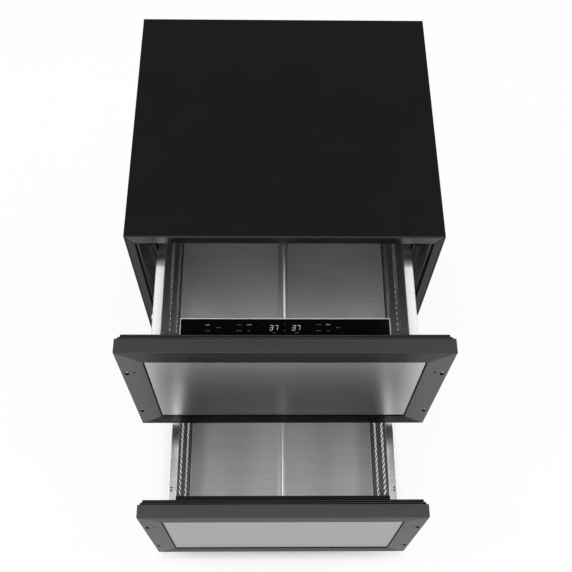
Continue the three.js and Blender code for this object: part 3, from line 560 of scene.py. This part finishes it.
# ---------------------------------------------------------------- liner, foam and underfloor
# The cold space is a vacuum-formed grey plastic liner with round corners. Foam fills the space
# around it, down to a stepped steel sheet over the machine space.
liner_plastic = even_finish("liner_plastic", (420,), (12,), ("7e7e80", "8a8a8c"), (0.4, 0.15),
                            0.06, {"Specular IOR Level": 0.3})
foam = new_finish("foam")
cells = foam.put("TexVoronoi", {"feature": "F1"}, {"Vector": spot(foam), "Scale": 500.0})
pores = noise(foam, 25.0) * 0.6 + cells * 0.4
foam = coated(foam, {
    "Base Color": blend(foam, pores, tone("cbbf98"), tone("e2d9bb")),
    "Roughness": cells * 0.1 + 0.85, "Normal": bump(foam, cells, 0.4 * mm),
})


def give(node, finish):
    """Finish a solid whose shape is right."""
    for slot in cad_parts[node].material_slots:
        slot.material = finish


give("foam_insulation", foam)
dress("underfloor_steel", "underfloor_panel", 0.5, galvanised, "cabinet", "galvanised_steel")
liner = softened("inner_liner", 6 * mm, 4, lambda middle, way: (
    abs(middle.x) < 282.5 * mm + abs(way.x) and middle.y > -40 * mm))
lo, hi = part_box("inner_liner")
lip_reach, lip_half = 6 * mm, 4 * mm
lip_lo = lo - Vector((lip_reach, 0.27 * mm, lip_reach))
lip_hi = Vector((hi.x + lip_reach, lo.y - 0.03 * mm, hi.z + lip_reach))
front_lip = [slab((x - lip_half, lip_lo.y, lip_lo.z), (x + lip_half, lip_hi.y, lip_hi.z))
             for x in (lip_lo.x + lip_half, lip_hi.x - lip_half)]
front_lip += [slab((lip_lo.x, lip_lo.y, z - lip_half), (lip_hi.x, lip_hi.y, z + lip_half))
              for z in (lip_lo.z + lip_half, lip_hi.z - lip_half)]
set_in("liner_shell", joined(liner, *front_lip), liner_plastic, "cabinet", "liner_grey",
       "inner_liner")
dress("partition_panel", "compartment_partition", 1.5, liner_plastic, "cabinet",
      "foamed_partition")

# ---------------------------------------------------------------- casing and toe grille
# One steel sheet is folded over the top and both sides, hemmed along the front and painted in
# a fine black texture. The toe grille is a moulded black plate with slots for the air.
case_paint = new_finish("case_paint")
texture = noise(case_paint, 1400.0, 3.0) * 0.6 + noise(case_paint, 380.0, 2.0) * 0.4
# A strip along the front hem is painted lighter: a painted highlight on its rounded edge.
hem_highlight_width = 1.6 * mm
hem_highlight = case_paint.axes().at("Y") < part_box("cabinet_casing")[0].y + hem_highlight_width
paint_tone = blend(case_paint, noise(case_paint, 9.0), tone("0a0a0b"), tone("101011"))
case_paint = coated(case_paint, {
    "Base Color": blend(case_paint, hem_highlight, paint_tone, tone("303031")),
    "Roughness": texture * 0.2 + 0.4, "Specular IOR Level": 0.09,
    "Normal": bump(case_paint, texture, 0.1 * mm),
})
lo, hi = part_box("cabinet_casing")
casing = softened("cabinet_casing", 1.4 * mm, 3, lambda middle, way: (
    (middle.z > hi.z - 0.1 * mm or abs(middle.x) > hi.x - 0.1 * mm)
    and (middle.y < lo.y + 0.1 * mm or abs(way.y) > 0.9 and middle.z > hi.z - 0.1 * mm)))
round_off(casing, 0.25 * mm, 1, lambda middle, way: middle.y > hi.y - 0.1 * mm)
set_in("casing_sheet", casing, case_paint, "cabinet", "case_black", "cabinet_casing")

lo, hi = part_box("toe_grille")
grille = softened("toe_grille", 4.7 * mm, 4, lambda middle, way: (
    abs(way.y) > 0.9 and abs(middle.x) < 0.29 and lo.z + 5 * mm < middle.z < hi.z - 5 * mm))
round_off(grille, 0.4 * mm, 1)
set_in("toe_grille_plate", grille, black_plastic, "cabinet", "black_plastic", "toe_grille")

# ---------------------------------------------------------------- back panel and rear cover
# Both are galvanised sheets, screwed on. The rear cover has pressed louvres for the air that
# leaves the machine space.
screw_zinc = even_finish("screw_zinc", (900, 2), (900, 2), ("a9adaf", "d2d5d6"), (0.25, 0.15),
                         0.02, {"Metallic": 1.0})


def screw(place, axis, radius=3.2, height=1.0):
    """A flat-headed screw with a dished middle; its head rises along the axis."""
    head = turned([(0, -3 * height), (radius * 0.5, -3 * height), (radius * 0.5, 0), (radius, 0),
                   (radius, height * 0.45), (radius * 0.8, height * 0.85), (radius * 0.4, height),
                   (radius * 0.34, height * 0.5), (0, height * 0.35)], 20)
    return moved(head, place, axis)


lo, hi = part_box("back_panel")
panel = softened("back_panel", 0.3 * mm, 1)
outer = max(panel.faces, key=lambda face: face.normal.y * face.calc_area())
bmesh.ops.inset_region(panel, faces=[outer], thickness=22 * mm, use_even_offset=True)
for width, depth in ((1.2, -0.7), (45, 0), (1.2, 0.7), (14, 0), (1.2, -0.7)):
    bmesh.ops.inset_region(panel, faces=[outer], thickness=width * mm, depth=depth * mm,
                           use_even_offset=True)


def rear_screws(hi, places):
    """Screws in a rear sheet, at places in millimetres across and up."""
    return joined(*[screw((x * mm, hi.y - 0.95 * mm, z * mm), "Y", height=0.9) for x, z in places])


panel_screws = [(x, z) for x in (-290, -97, 97, 290) for z in (212, 858)]
panel_screws += [(x, z) for x in (-290, 290) for z in (370, 535, 700)]
set_in("back_panel_sheet", panel, galvanised, "cabinet", "galvanised_steel", "back_panel")
set_in("back_panel_screws", rear_screws(hi, panel_screws), screw_zinc, "cabinet", "slide_zinc")

lo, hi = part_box("rear_cover")
louvres = []
for column_x in (-220, 60, 150, 240):
    for row in range(9):
        z = 110 + (row - 4) * 12 - 0.15
        hood = slab(((column_x - 36) * mm, hi.y - 5.2 * mm, (z - 2.6) * mm),
                    ((column_x + 36) * mm, hi.y - 4.4 * mm, (z + 3.2) * mm), 0.2 * mm, 1)
        lip = slab(((column_x - 36) * mm, hi.y - 5.2 * mm, (z + 2.4) * mm),
                   ((column_x + 36) * mm, hi.y - 0.6 * mm, (z + 3.2) * mm), 0.2 * mm, 1)
        louvres += [hood, lip]
cover = joined(softened("rear_cover", 0.25 * mm, 1), *louvres)
set_in("rear_cover_sheet", cover, galvanised, "cabinet", "galvanised_steel", "rear_cover")
cover_screws = [(x, z) for x in (-290, -120, 12, 290) for z in (30, 190)]
set_in("rear_cover_screws", rear_screws(hi, cover_screws), screw_zinc, "cabinet", "slide_zinc")

# ---------------------------------------------------------------- face frame
# Four mitred rails of black stainless around the opening, which the gaskets close on, and a
# mullion between the drawers. They're brushed along their length.
def brushed(name, dark, light, way, rough=0.3, depth=0.03, grazing=0.5, spread=0.16):
    """Metal brushed along an axis, in streaks a few millimetres to a tenth of one wide."""
    finish = new_finish(name)
    stretch = [1.0, 1.0, 1.0]
    stretch["XYZ".index(way)] = 0.03
    streaks = (noise(finish, 900.0, 4.0, 0.7, stretch) * 0.6
               + noise(finish, 160.0, 3.0, 0.6, stretch) * 0.4)
    return coated(finish, {
        "Base Color": blend(finish, streaks, tone(dark), tone(light)),
        "Metallic": 1.0, "Specular Tint": (grazing, grazing, grazing, 1.0),
        "Roughness": (streaks - 0.5) * spread + rough, "Normal": bump(finish, streaks, depth * mm),
    })


# The rails are painted a lighter tone than the stiles: a painted reflection, for how the same
# brushed steel catches the light across and upright.
frame_across = brushed("face_frame_rails", "545455", "686869", "X")
frame_upright = brushed("face_frame_stiles", "424243", "525253", "Z")
for member, finish in (("top_rail", frame_across), ("bottom_rail", frame_across),
                       ("left_stile", frame_upright), ("right_stile", frame_upright)):
    dress(member, f"face_frame_{member}", 0.8, finish, "cabinet", "face_frame_charcoal")
dress("mullion_cover", "mullion_bar", 1.5, frame_across, "cabinet", "face_frame_charcoal", 3)

# ---------------------------------------------------------------- evaporator
# A finned coil at the back of the upper cold space makes the cold, and a fan behind a moulded
# cover with a barred opening blows it forwards over the drawers.
lo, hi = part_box("evaporator_coil")
set_in("evaporator_fins", finned_coil(lo, hi, "X", 6 * mm, 5, 1, 14 * mm), aluminium, "cabinet",
       "fin_aluminium", "evaporator_coil")
lo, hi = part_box("evaporator_fan_motor")
middle = (lo + hi) / 2
motor = moved(turned([
    (0, 0), (2.5, 0), (2.5, 18), (6, 18), (6, 19.4), (15, 19.4), (17, 21.4), (17, 50), (0, 50),
], 40), (middle.x, lo.y, middle.z), "Y")
bmesh.ops.scale(motor, vec=(1, (hi.y - lo.y) / (50 * mm), 1), verts=motor.verts,
                space=Matrix.Translation((0, -lo.y, 0)))
set_in("evaporator_motor", motor, fan_plastic, "cabinet", "fan_grey", "evaporator_fan_motor")
set_in("evaporator_fan_wheel", moved(fan_wheel(), (middle.x, lo.y, middle.z), "Y"),
       black_plastic, "evaporator_fan", "black_plastic", "evaporator_fan")
dress("evaporator_housing", "evaporator_cover", 0.9, liner_plastic, "cabinet", "liner_grey")

# ---------------------------------------------------------------- slides and their brackets
# Each drawer runs on a pair of three-part ball-bearing slides of zinc-plated steel. Black
# folded brackets carry them on the liner's walls, each with a moulded cap in front.
zinc_plate = brushed("zinc_plate", "9b9fa2", "c0c4c6", "Y", 0.28, 0.02)
bracket_paint = even_finish("bracket_paint", (600,), (14,), ("0b0b0c", "131314"), (0.3, 0.15), 0.05)
cap_inner_x, cap_outer_x = 249.6, 264
for drawer in ("upper", "lower"):
    for side, sign in (("left", -1), ("right", 1)):
        slide = f"{drawer}_{side}"
        dress(f"{slide}_bracket", f"{slide}_slide_bracket", 0.5, bracket_paint, "cabinet",
              "bracket_black")
        lo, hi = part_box(f"{slide}_slide_bracket")
        inner_x, outer_x = sorted((sign * cap_inner_x * mm, sign * cap_outer_x * mm))
        cap = slab((inner_x, lo.y + 0.2 * mm, lo.z + 2 * mm),
                   (outer_x, lo.y + 24 * mm, hi.z - 1.6 * mm), 4 * mm, 4)
        set_in(f"{slide}_bracket_cap", cap, black_plastic, "cabinet", "black_plastic")
        for member, body in (("drawer", f"{drawer}_drawer"), ("middle", f"{drawer}_middle_slides"),
                             ("cabinet", "cabinet")):
            dress(f"{slide}_{member}_member", f"{slide}_{member}_slide", 0.6, zinc_plate, body,
                  "slide_zinc", 3)


# ---------------------------------------------------------------- drawer fronts
# Each front is a frame of black stainless, folded back at its edges, around a silver steel
# panel in a black seal. Slots and small holes near the sides take a cabinet maker's panel.
def slot_cutter(middle, size, way):
    """A round-ended slot's cutter, which runs along one axis."""
    middle, size = Vector(middle), Vector(size)
    shape = slab(middle - size / 2, middle + size / 2)
    index = "XYZ".index(way)
    radius = min(size[i] for i in range(3) if i != index) * 0.485
    round_off(shape, radius, 5, lambda _, direction: abs(direction[index]) > 0.9)
    return shape


def cut_sheet(shape, thickness, offset, cutters):
    """Give a shape the thickness of its sheet, and cut the holes through it."""
    spare = []
    for number, part in enumerate((shape, joined(*cutters))):
        mesh = bpy.data.meshes.new(f"spare_{number}")
        part.to_mesh(mesh)
        part.free()
        spare.append(bpy.data.objects.new(f"spare_{number}", mesh))
        bpy.context.scene.collection.objects.link(spare[-1])
    skin = spare[0].modifiers.new("skin", "SOLIDIFY")
    skin.thickness, skin.offset = thickness, offset
    holes = spare[0].modifiers.new("holes", "BOOLEAN")
    holes.object, holes.operation, holes.solver = spare[1], "DIFFERENCE", "EXACT"
    result = bmesh.new()
    result.from_object(spare[0], bpy.context.evaluated_depsgraph_get())
    for thing in spare:
        mesh = thing.data
        bpy.data.objects.remove(thing)
        bpy.data.meshes.remove(mesh)
    return result


def stepped_ring(lo, hi, y, facing, steps, rounding=0.0):
    """A rectangular ring built up from a flat face by turns of insets and rises."""
    shape = bmesh.new()
    size = (hi.x - lo.x, hi.z - lo.z, 1)
    lay = Matrix.Rotation(math.pi / 2 * -facing, 4, "X")
    place = Matrix.Translation(((lo.x + hi.x) / 2, y, (lo.z + hi.z) / 2)) @ lay
    bmesh.ops.create_grid(shape, x_segments=1, y_segments=1, size=0.5,
                          matrix=place @ Matrix.Diagonal((*size, 1)))
    face = shape.faces[:][0]
    for inset, rise in steps:
        if inset:
            bmesh.ops.inset_region(shape, faces=[face], thickness=inset * mm, use_boundary=True,
                                   use_even_offset=True)
        if rise:
            risen = bmesh.ops.extrude_face_region(shape, geom=[face])["geom"]
            bmesh.ops.delete(shape, geom=[face], context="FACES_ONLY")
            face = next(item for item in risen if isinstance(item, bmesh.types.BMFace))
            verts = [item for item in risen if isinstance(item, bmesh.types.BMVert)]
            bmesh.ops.translate(shape, vec=(0, rise * mm * facing, 0), verts=verts)
    bmesh.ops.delete(shape, geom=[face], context="FACES_ONLY")
    bmesh.ops.bridge_loops(shape, edges=[edge for edge in shape.edges if edge.is_boundary])
    bmesh.ops.recalc_face_normals(shape, faces=shape.faces)
    if rounding:
        round_off(shape, rounding, 2)
    return shape


def front_finish(name, middle_z, half_width, half_height, shaded_rail_tones):
    """Black stainless brushed along each side of the frame, up to mitre lines at its corners.
    Its tones are painted reflection and shade: the stiles lighter than the top rail, the bottom
    rail darker, the edges and folds darker than the face, and the hole walls near black.
    """
    finish = new_finish(name)
    place = finish.axes()
    past = (half_width - abs(place)) - (half_height - abs(place.at("Z") - middle_z))
    upright = past < 0.0
    seam = abs(past) < 0.35 * mm
    along_z = noise(finish, 700.0, 4.0, 0.7, (1, 1, 0.03)) * 0.6 + noise(finish, 130.0, 3.0) * 0.4
    along_x = noise(finish, 700.0, 4.0, 0.7, (0.03, 1, 1)) * 0.6 + noise(finish, 130.0, 3.0) * 0.4
    streaks = along_z * upright + along_x * (1 - upright)
    faces = finish.axes("Normal")
    edge = abs(faces.at("Y")) < 0.6
    fold = edge.larger(abs(faces.at("Y")) < 0.97)
    low_rail = place.at("Z") < middle_z
    # Painted reflection and shade: the stiles are lighter than the top rail and the bottom rail
    # darker, after what each reflects; the edges are darker than the face, and the folds darker
    # still so that they show no highlight.
    stile, top, bottom, rim = (
        blend(finish, streaks, tone(dark), tone(light)) for dark, light in (
            ("6a6a6b", "777778"), ("505051", "5c5c5d"), shaded_rail_tones, ("404041", "4c4c4d")))
    face_tone = blend(finish, upright, blend(finish, low_rail, top, bottom), stile)
    fold_tone = blend(finish, edge, tone("2a2a2b"), rim)
    # Walls of the holes and the window are painted near black: painted shade inside them.
    edge_shade_and_glint = (edge * (abs(place) < half_width - 4 * mm)
                * (abs(place.at("Z") - middle_z) < half_height - 4 * mm))
    return coated(finish, {
        "Base Color": blend(finish, (seam * 0.8).larger(edge_shade_and_glint),
                            blend(finish, fold, face_tone, fold_tone), tone("101011")),
        "Metallic": 1.0, "Roughness": streaks * 0.16 + edge * 0.15 + 0.2,
        "Specular Tint": (0.5, 0.5, 0.5, 1.0),
        "Normal": bump(finish, streaks - seam * 2.0, 0.03 * mm),
    })


seal_rubber = even_finish("seal_rubber", (800,), (30,), ("050505", "0a0a0b"), (0.5, 0.15), 0.04,
                          {"Specular IOR Level": 0.08})
panel_steel = brushed("panel_steel", "d2d3d4", "dadbdc", "X", 0.3, 0.006, 0.48, 0.05)
border, panel_recess, sheet, fold_radius = 46, 1.8, 1.5, 1.3
keyhole_x, keyhole_drop, keyhole_lift = 292.5, 99, 84  # from the front's middle, top and bottom
pilot_x, pilot_drop = 278.5, 94
keyhole_size, pilot_size = (7 * mm, 12 * mm, 18 * mm), (4.6 * mm, 12 * mm, 5.6 * mm)
# The front's foam core is painted deep black without sheen: painted shade, so that the keyholes
# read dark.
core_foam = new_finish("core_foam")
core_cells = core_foam.put("TexVoronoi", {"feature": "F1"}, {
    "Vector": spot(core_foam), "Scale": 900.0,
})
core_foam = coated(core_foam, {
    "Base Color": blend(core_foam, core_cells, tone("050505"), tone("0a0a0b")),
    "Roughness": core_cells * 0.1 + 0.85, "Specular IOR Level": 0.0,
    "Normal": bump(core_foam, core_cells, 0.1 * mm),
})
for drawer in ("upper", "lower"):
    lo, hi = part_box(f"{drawer}_front_frame")
    tray = slab(lo, hi)
    round_off(tray, fold_radius * mm, 3, lambda middle, way: middle.y < hi.y - 0.1 * mm)
    back = max(tray.faces, key=lambda face: face.normal.y * face.calc_area())
    bmesh.ops.delete(tray, geom=[back], context="FACES_ONLY")
    face = max(tray.faces, key=lambda face: -face.normal.y * face.calc_area())
    bmesh.ops.inset_region(tray, faces=[face], thickness=(border - fold_radius) * mm,
                           use_even_offset=True)
    bmesh.ops.delete(tray, geom=[face], context="FACES_ONLY")
    keyholes, cutters = [], []
    for sign in (-1, 1):
        for z in (hi.z - keyhole_drop * mm, lo.z + keyhole_lift * mm):
            keyholes.append((sign * keyhole_x * mm, z))
            cutters.append(slot_cutter((sign * keyhole_x * mm, lo.y, z), keyhole_size, "Y"))
        pilot = (sign * pilot_x * mm, lo.y, hi.z - pilot_drop * mm)
        cutters.append(slot_cutter(pilot, pilot_size, "Y"))
    tray = cut_sheet(tray, sheet * mm, -1.0, cutters)
    # The bottom rails are painted darker, the lower one most: painted shade for the dark places
    # below them that they reflect.
    shaded_rail_tones = {"upper": ("303031", "39393a"), "lower": ("232324", "2b2b2c")}[drawer]
    finish = front_finish(f"{drawer}_front_steel", (lo.z + hi.z) / 2, hi.x, (hi.z - lo.z) / 2,
                          shaded_rail_tones)
    set_in(f"{drawer}_front_tray", tray, finish, f"{drawer}_drawer", "front_charcoal",
           f"{drawer}_front_frame")

    if drawer == "upper":
        heads = [screw((x + 0.5 * mm, lo.y + 1.4 * mm, z + 4 * mm), "-Y", 2.7, 0.9)
                 for x, z in keyholes]
        set_in("keyhole_screws", joined(*heads), screw_zinc, "upper_drawer", "slide_zinc")

    window_lo = lo + Vector((border, 0, border)) * mm
    window_hi = hi - Vector((border, 0, border)) * mm
    # The seal is near-black rubber, and its black also stands in for the shade in the recess
    # between frame and panel: partly painted shade.
    seal = stepped_ring(window_lo, window_hi, lo.y + panel_recess * mm, -1,
                        [(0, 0.6), (2.6, -0.6)], 0.15 * mm)
    set_in(f"{drawer}_panel_seal", seal, seal_rubber, f"{drawer}_drawer", "gasket_rubber")
    give(f"{drawer}_front_panel", panel_steel)
    dress(f"{drawer}_front_foam_core", f"{drawer}_front_core", 2, core_foam, f"{drawer}_drawer",
          "foamed_front", 3)

# ---------------------------------------------------------------- gaskets
# A black magnetic gasket runs round the back of each front. It has a wide base, a step and a
# narrower lip that meets the face frame.
def gasket_finish(name, front):
    """Dull black rubber, with a painted highlight along the two ridges of its steps."""
    finish = new_finish(name)
    behind_front = finish.axes().at("Y") - front
    # The ridges are painted lighter: a painted highlight where they catch the light.
    base_ridge_highlight = abs(behind_front - 4.0 * mm) < 0.8 * mm
    ridge_highlight = base_ridge_highlight.larger(abs(behind_front - 9.2 * mm) < 0.6 * mm)
    grain = noise(finish, 800.0, 3.0)
    rubber_tone = blend(finish, noise(finish, 30.0), tone("0b0b0c"), tone("121213"))
    return coated(finish, {
        "Base Color": blend(finish, ridge_highlight, rubber_tone, tone("3e3e3f")),
        "Roughness": grain * 0.15 + 0.5, "Specular IOR Level": 0.05,
        "Normal": bump(finish, grain, 0.04 * mm),
    })


tab_x = 207
for drawer in ("upper", "lower"):
    lo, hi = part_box(f"{drawer}_gasket")
    gasket = stepped_ring(lo, hi, lo.y, 1, [
        (0, 4.6), (0.8, 0), (0, -0.8), (1.2, 0), (0, 2.2), (2, 0), (0, 3.7), (0.6, 2.0), (2.2, 0),
        (0, -1.2), (1, 0), (0, 1.2), (2.4, 0), (0.6, -2.0), (1.2, -9.7),
    ], 0.25 * mm)
    tabs = [slab((x - 3 * mm, lo.y + 1 * mm, hi.z - 2 * mm),
                 (x + 3 * mm, lo.y + 4 * mm, hi.z + 1.4 * mm), 0.5 * mm)
            for x in (-tab_x * mm, tab_x * mm)]
    rubber = gasket_finish(f"{drawer}_gasket_rubber", lo.y)
    set_in(f"{drawer}_door_gasket", joined(gasket, *tabs), rubber, f"{drawer}_drawer",
           "gasket_rubber", f"{drawer}_gasket")

# ---------------------------------------------------------------- bins
# Each bin is folded and welded from brushed stainless, with round corners, a flange turned
# down at its sides, and two rows of slots in both side walls that let the cold air through.
flange_front, flange_rear, wall, corner, inner_half = 18, 10, 1.2, 4, 229
slot_pitch, slot_margin = 12, 18
divider_steel = brushed("divider_steel", "dedfe0", "f6f6f7", "Y", 0.5, 0.02, 0.6)


def bin_finish(name, flange_z, edge_glint_share):
    """Satin steel inside, brushed across on the floor and along on the walls, with a flange
    that is polished smoother. The walls are painted darker than the floor (painted shade), and
    the slot edges can be painted bright (a painted highlight)."""
    finish = new_finish(name)
    facing, here = finish.axes("Normal"), finish.axes()
    on_side = abs(facing) > 0.7
    polished = here.at("Z") > flange_z - 9.5 * mm
    across, along = (
        noise(finish, 700.0, 4.0, 0.7, fine) * 0.4 + noise(finish, 150.0, 3.0, 0.6, broad) * 0.6
        for fine, broad in (((0.03, 1, 1), (0.04, 1, 1)), ((1, 0.03, 1), (1, 0.04, 1))))
    streaks = along * on_side + across * (1 - on_side)
    smooth = polished.larger(on_side)
    past_inside = abs(here) - inner_half * mm
    on_wall = (abs(facing.at("Z")) < 0.7) * (1 - polished)
    # The slot edges are painted bright: a painted highlight.
    edge_shade_and_glint = (past_inside > 0.1 * mm) * (past_inside < 1.1 * mm) * (1 - polished) * edge_glint_share
    # The walls are painted darker than the floor: painted shade, as they catch less light.
    floor_tone = blend(finish, streaks, tone("c6c8ca"), tone("f4f5f5"))
    shaded_wall_tone = blend(finish, streaks, tone("84868a"), tone("a8aaac"))
    return coated(finish, {
        "Base Color": blend(finish, edge_shade_and_glint, blend(finish, on_wall, floor_tone, shaded_wall_tone),
                            tone("f4f4f4")),
        "Metallic": smooth * 0.55 + 0.45 - edge_shade_and_glint * 0.5, "Specular Tint": (0.4, 0.4, 0.4, 1.0),
        "Roughness": streaks * (0.14 - smooth * 0.08) + 0.42 - smooth * 0.24,
        "Normal": bump(finish, streaks * (1 - smooth * 0.7), 0.03 * mm),
    })


clip_white = even_finish("clip_white", (500,), (500,), ("d9d9d6", "e8e8e6"), (0.4, 0.1), 0.02)
for drawer, slot_drops in (("upper", (106, 222)), ("lower", (63, 189))):
    lo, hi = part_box(f"{drawer}_bin")
    inner_lo = Vector((-inner_half * mm, lo.y + flange_front * mm, lo.z + wall * mm))
    inner_hi = Vector((inner_half * mm, hi.y - flange_rear * mm, hi.z))
    tub = slab(inner_lo, inner_hi)
    top = max(tub.faces, key=lambda face: face.normal.z)
    bmesh.ops.delete(tub, geom=[top], context="FACES_ONLY")
    round_off(tub, corner * mm, 5)
    rim = [edge for edge in tub.edges if edge.is_boundary]
    flange = bmesh.ops.extrude_edge_only(tub, edges=rim)["geom"]
    for vert in (item for item in flange if isinstance(item, bmesh.types.BMVert)):
        share = (vert.co.y - inner_lo.y) / (inner_hi.y - inner_lo.y)
        vert.co.x *= hi.x / inner_hi.x
        vert.co.y = lo.y + share * (hi.y - lo.y)
    lip = [edge for edge in tub.edges if edge.is_boundary
           and all(abs(vert.co.x) > hi.x - 0.01 * mm for vert in edge.verts)]
    turned_down = bmesh.ops.extrude_edge_only(tub, edges=lip)["geom"]
    bmesh.ops.translate(tub, vec=(0, 0, -8 * mm), verts=[
        item for item in turned_down if isinstance(item, bmesh.types.BMVert)])
    round_off(tub, 1.3 * mm, 3, lambda middle, way: middle.z > hi.z - 0.1 * mm)
    bmesh.ops.recalc_face_normals(tub, faces=tub.faces)
    lowest = min(tub.faces, key=lambda face: face.calc_center_median().z)
    if lowest.normal.z > 0:
        bmesh.ops.reverse_faces(tub, faces=tub.faces)
    length = (inner_hi.y - inner_lo.y) / mm
    count = int((length - 2 * slot_margin) // slot_pitch) + 1
    cutters = []
    for drop in slot_drops:
        for i in range(count):
            y = (inner_lo.y + inner_hi.y) / 2 + (i - (count - 1) / 2) * slot_pitch * mm
            cutters.append(slot_cutter((0, y, hi.z - drop * mm),
                                       (480 * mm, 6.8 * mm, 42 * mm), "X"))
    tub = cut_sheet(tub, wall * mm, 1.0, cutters)
    # Only the lower bin's slot edges get the painted highlight.
    edge_glint_share = 1.0 if drawer == "lower" else 0.0
    set_in(f"{drawer}_bin_tub", tub, bin_finish(f"{drawer}_bin_steel", hi.z, edge_glint_share),
           f"{drawer}_drawer", "bin_steel", f"{drawer}_bin")

    a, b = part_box(f"{drawer}_divider")
    sheet_body = slab(a, Vector((b.x, b.y, b.z - 1.5 * mm)), 0.4 * mm)
    bead = slab((a.x - 0.7 * mm, a.y, b.z - 5 * mm), (b.x + 0.7 * mm, b.y, b.z), 1.9 * mm, 4)
    foot = slab((a.x - 9 * mm, a.y, a.z), (b.x + 9 * mm, b.y, a.z + 1 * mm), 0.4 * mm)
    set_in(f"{drawer}_divider_sheet", joined(sheet_body, bead, foot), divider_steel,
           f"{drawer}_drawer", "bin_steel", f"{drawer}_divider")

rivet_x, clip_x, clip_half = 240.4, 246.1, 1.4
lo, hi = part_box("lower_bin")
rivets = [moved(turned([(0, -1.6), (2.4, -1.6), (2.4, -0.2), (1.8, 0.25), (0, 0.35)], 16),
                (x * mm, lo.y + y * mm, hi.z)) for x in (-rivet_x, rivet_x) for y in (30, 36.5)]
set_in("lower_bin_rivets", joined(*rivets), black_plastic, "lower_drawer", "black_plastic")

lo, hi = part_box("upper_bin")
clips = [slab(((x - clip_half) * mm, lo.y + 52 * mm, hi.z - 6 * mm),
              ((x + clip_half) * mm, lo.y + 60 * mm, hi.z + 0.8 * mm), 0.5 * mm)
         for x in (-clip_x, clip_x)]
set_in("flange_clips", joined(*clips), clip_white, "upper_drawer", "black_plastic")
dress("bin_front_trim", "lower_bin_trim", 0.8, black_plastic, "lower_drawer", "black_plastic", 3)

# ---------------------------------------------------------------- control panel
# A strip of black glass in a thin silver bezel lies on a plastic housing at the front of the
# upper bin. Its display lies on the glass, with plain marks for the touch keys.
dress("control_case", "control_housing", 1.5, black_plastic, "upper_drawer", "black_plastic", 3)
bezel_metal = brushed("bezel_metal", "c3c5c7", "d8dadb", "X", 0.24, 0.01)
dress("control_bezel_frame", "control_bezel", 0.6, bezel_metal, "upper_drawer", "bezel_silver", 3)
black_glass = even_finish("black_glass", (40, 4), (40, 4), ("030303", "060606"), (0.05, 0.06),
                          0.01, {"Specular IOR Level": 0.04})
dress("control_glass_strip", "control_glass", 0.4, black_glass, "upper_drawer", "black_glass")

lo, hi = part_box("control_glass")
glass_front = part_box("upper_bin")[0].y
digit_height, digit_width, bar, slant = 9.8, 5.9, 0.52, 0.16


def segment(x, y, width, length):
    """A display bar on the glass, at a place in millimetres from the drawer's middle."""
    bar_shape = slab(((x - width / 2) * mm, glass_front + (y - length / 2) * mm, hi.z - 0.2 * mm),
                     ((x + width / 2) * mm, glass_front + (y + length / 2) * mm, hi.z + 0.05 * mm))
    round_off(bar_shape, min(width, length) * 0.3 * mm, 2, lambda _, way: abs(way.z) > 0.9)
    return bar_shape


digit_bars = {
    "a": (0, 1, True), "b": (1, 0.5, False), "c": (1, -0.5, False), "d": (0, -1, True),
    "g": (0, 0, True),
}
digit_y = 20.8
digits = []
for x, numeral in ((-25.4, "abgcd"), (-16.7, "abc"), (15.1, "abgcd"), (23.7, "abc")):
    for name in numeral:
        side, row, flat = digit_bars[name]
        reach_y = row * (digit_height - bar) / 2
        reach_x = side * (digit_width - bar) / 2 + slant * reach_y
        size = (digit_width - 2 * bar, bar) if flat else (bar, (digit_height - bar) / 2 - bar)
        piece = segment(x + reach_x, digit_y + reach_y, *size)
        if not flat:
            middle = Vector(((x + reach_x) * mm, glass_front + (digit_y + reach_y) * mm, 0))
            lean_over = Matrix(((1, slant, 0), (0, 1, 0), (0, 0, 1))).to_4x4()
            bmesh.ops.transform(piece, matrix=lean_over, space=Matrix.Translation(-middle),
                                verts=piece.verts)
        digits.append(piece)


def lit(name, colour, strength):
    """A mark on the glass that gives a little light."""
    finish = new_finish(name)
    flicker = noise(finish, 900.0, 2.0)
    shade = blend(finish, flicker * 0.2, tone(colour), tone("ffffff"))
    return coated(finish, {
        "Base Color": tone("040404"), "Roughness": flicker * 0.1 + 0.5, "Emission Color": shade,
        "Emission Strength": strength,
    })


def dashes(marks, height):
    """Rows of short dashes, each row given by its middle and its width."""
    rows = []
    for x, y, width in marks:
        count = max(1, round(width / 2))
        for i in range(count):
            middle_x = x + ((i + 0.5) / count - 0.5) * width
            rows.append(segment(middle_x, y, 0.8 * width / count, height))
    return joined(*rows)


set_in("display_digits", joined(*digits), lit("display_light", "f0f3f6", 1.0), "upper_drawer",
       "black_glass")
bright_keys = [(-140.7, 26.5, 8), (-65.6, 26.7, 8.5), (77.9, 27.4, 8)]
dim_keys = [(-140.3, 14.9, 8.5), (-121, 21.1, 9), (-83.7, 26.7, 8.5), (-83.5, 15, 10),
            (-66.1, 15, 4.4), (-0.7, 15, 2.6), (61, 27.4, 8.5), (95.7, 21.2, 7.4),
            (60.1, 15.1, 9.5), (77.9, 15.1, 4), (-20.4, 10.9, 5.6), (20.4, 10.9, 6.6),
            (-39.3, 27.3, 1), (-0.6, 27.8, 1.6)]
set_in("display_bright_marks", dashes(bright_keys, 1.1), lit("bright_marks", "d8dbde", 0.5),
       "upper_drawer", "black_glass")
set_in("display_dim_marks", dashes(dim_keys, 1.0), lit("dim_marks", "8a8c90", 0.22),
       "upper_drawer", "black_glass")
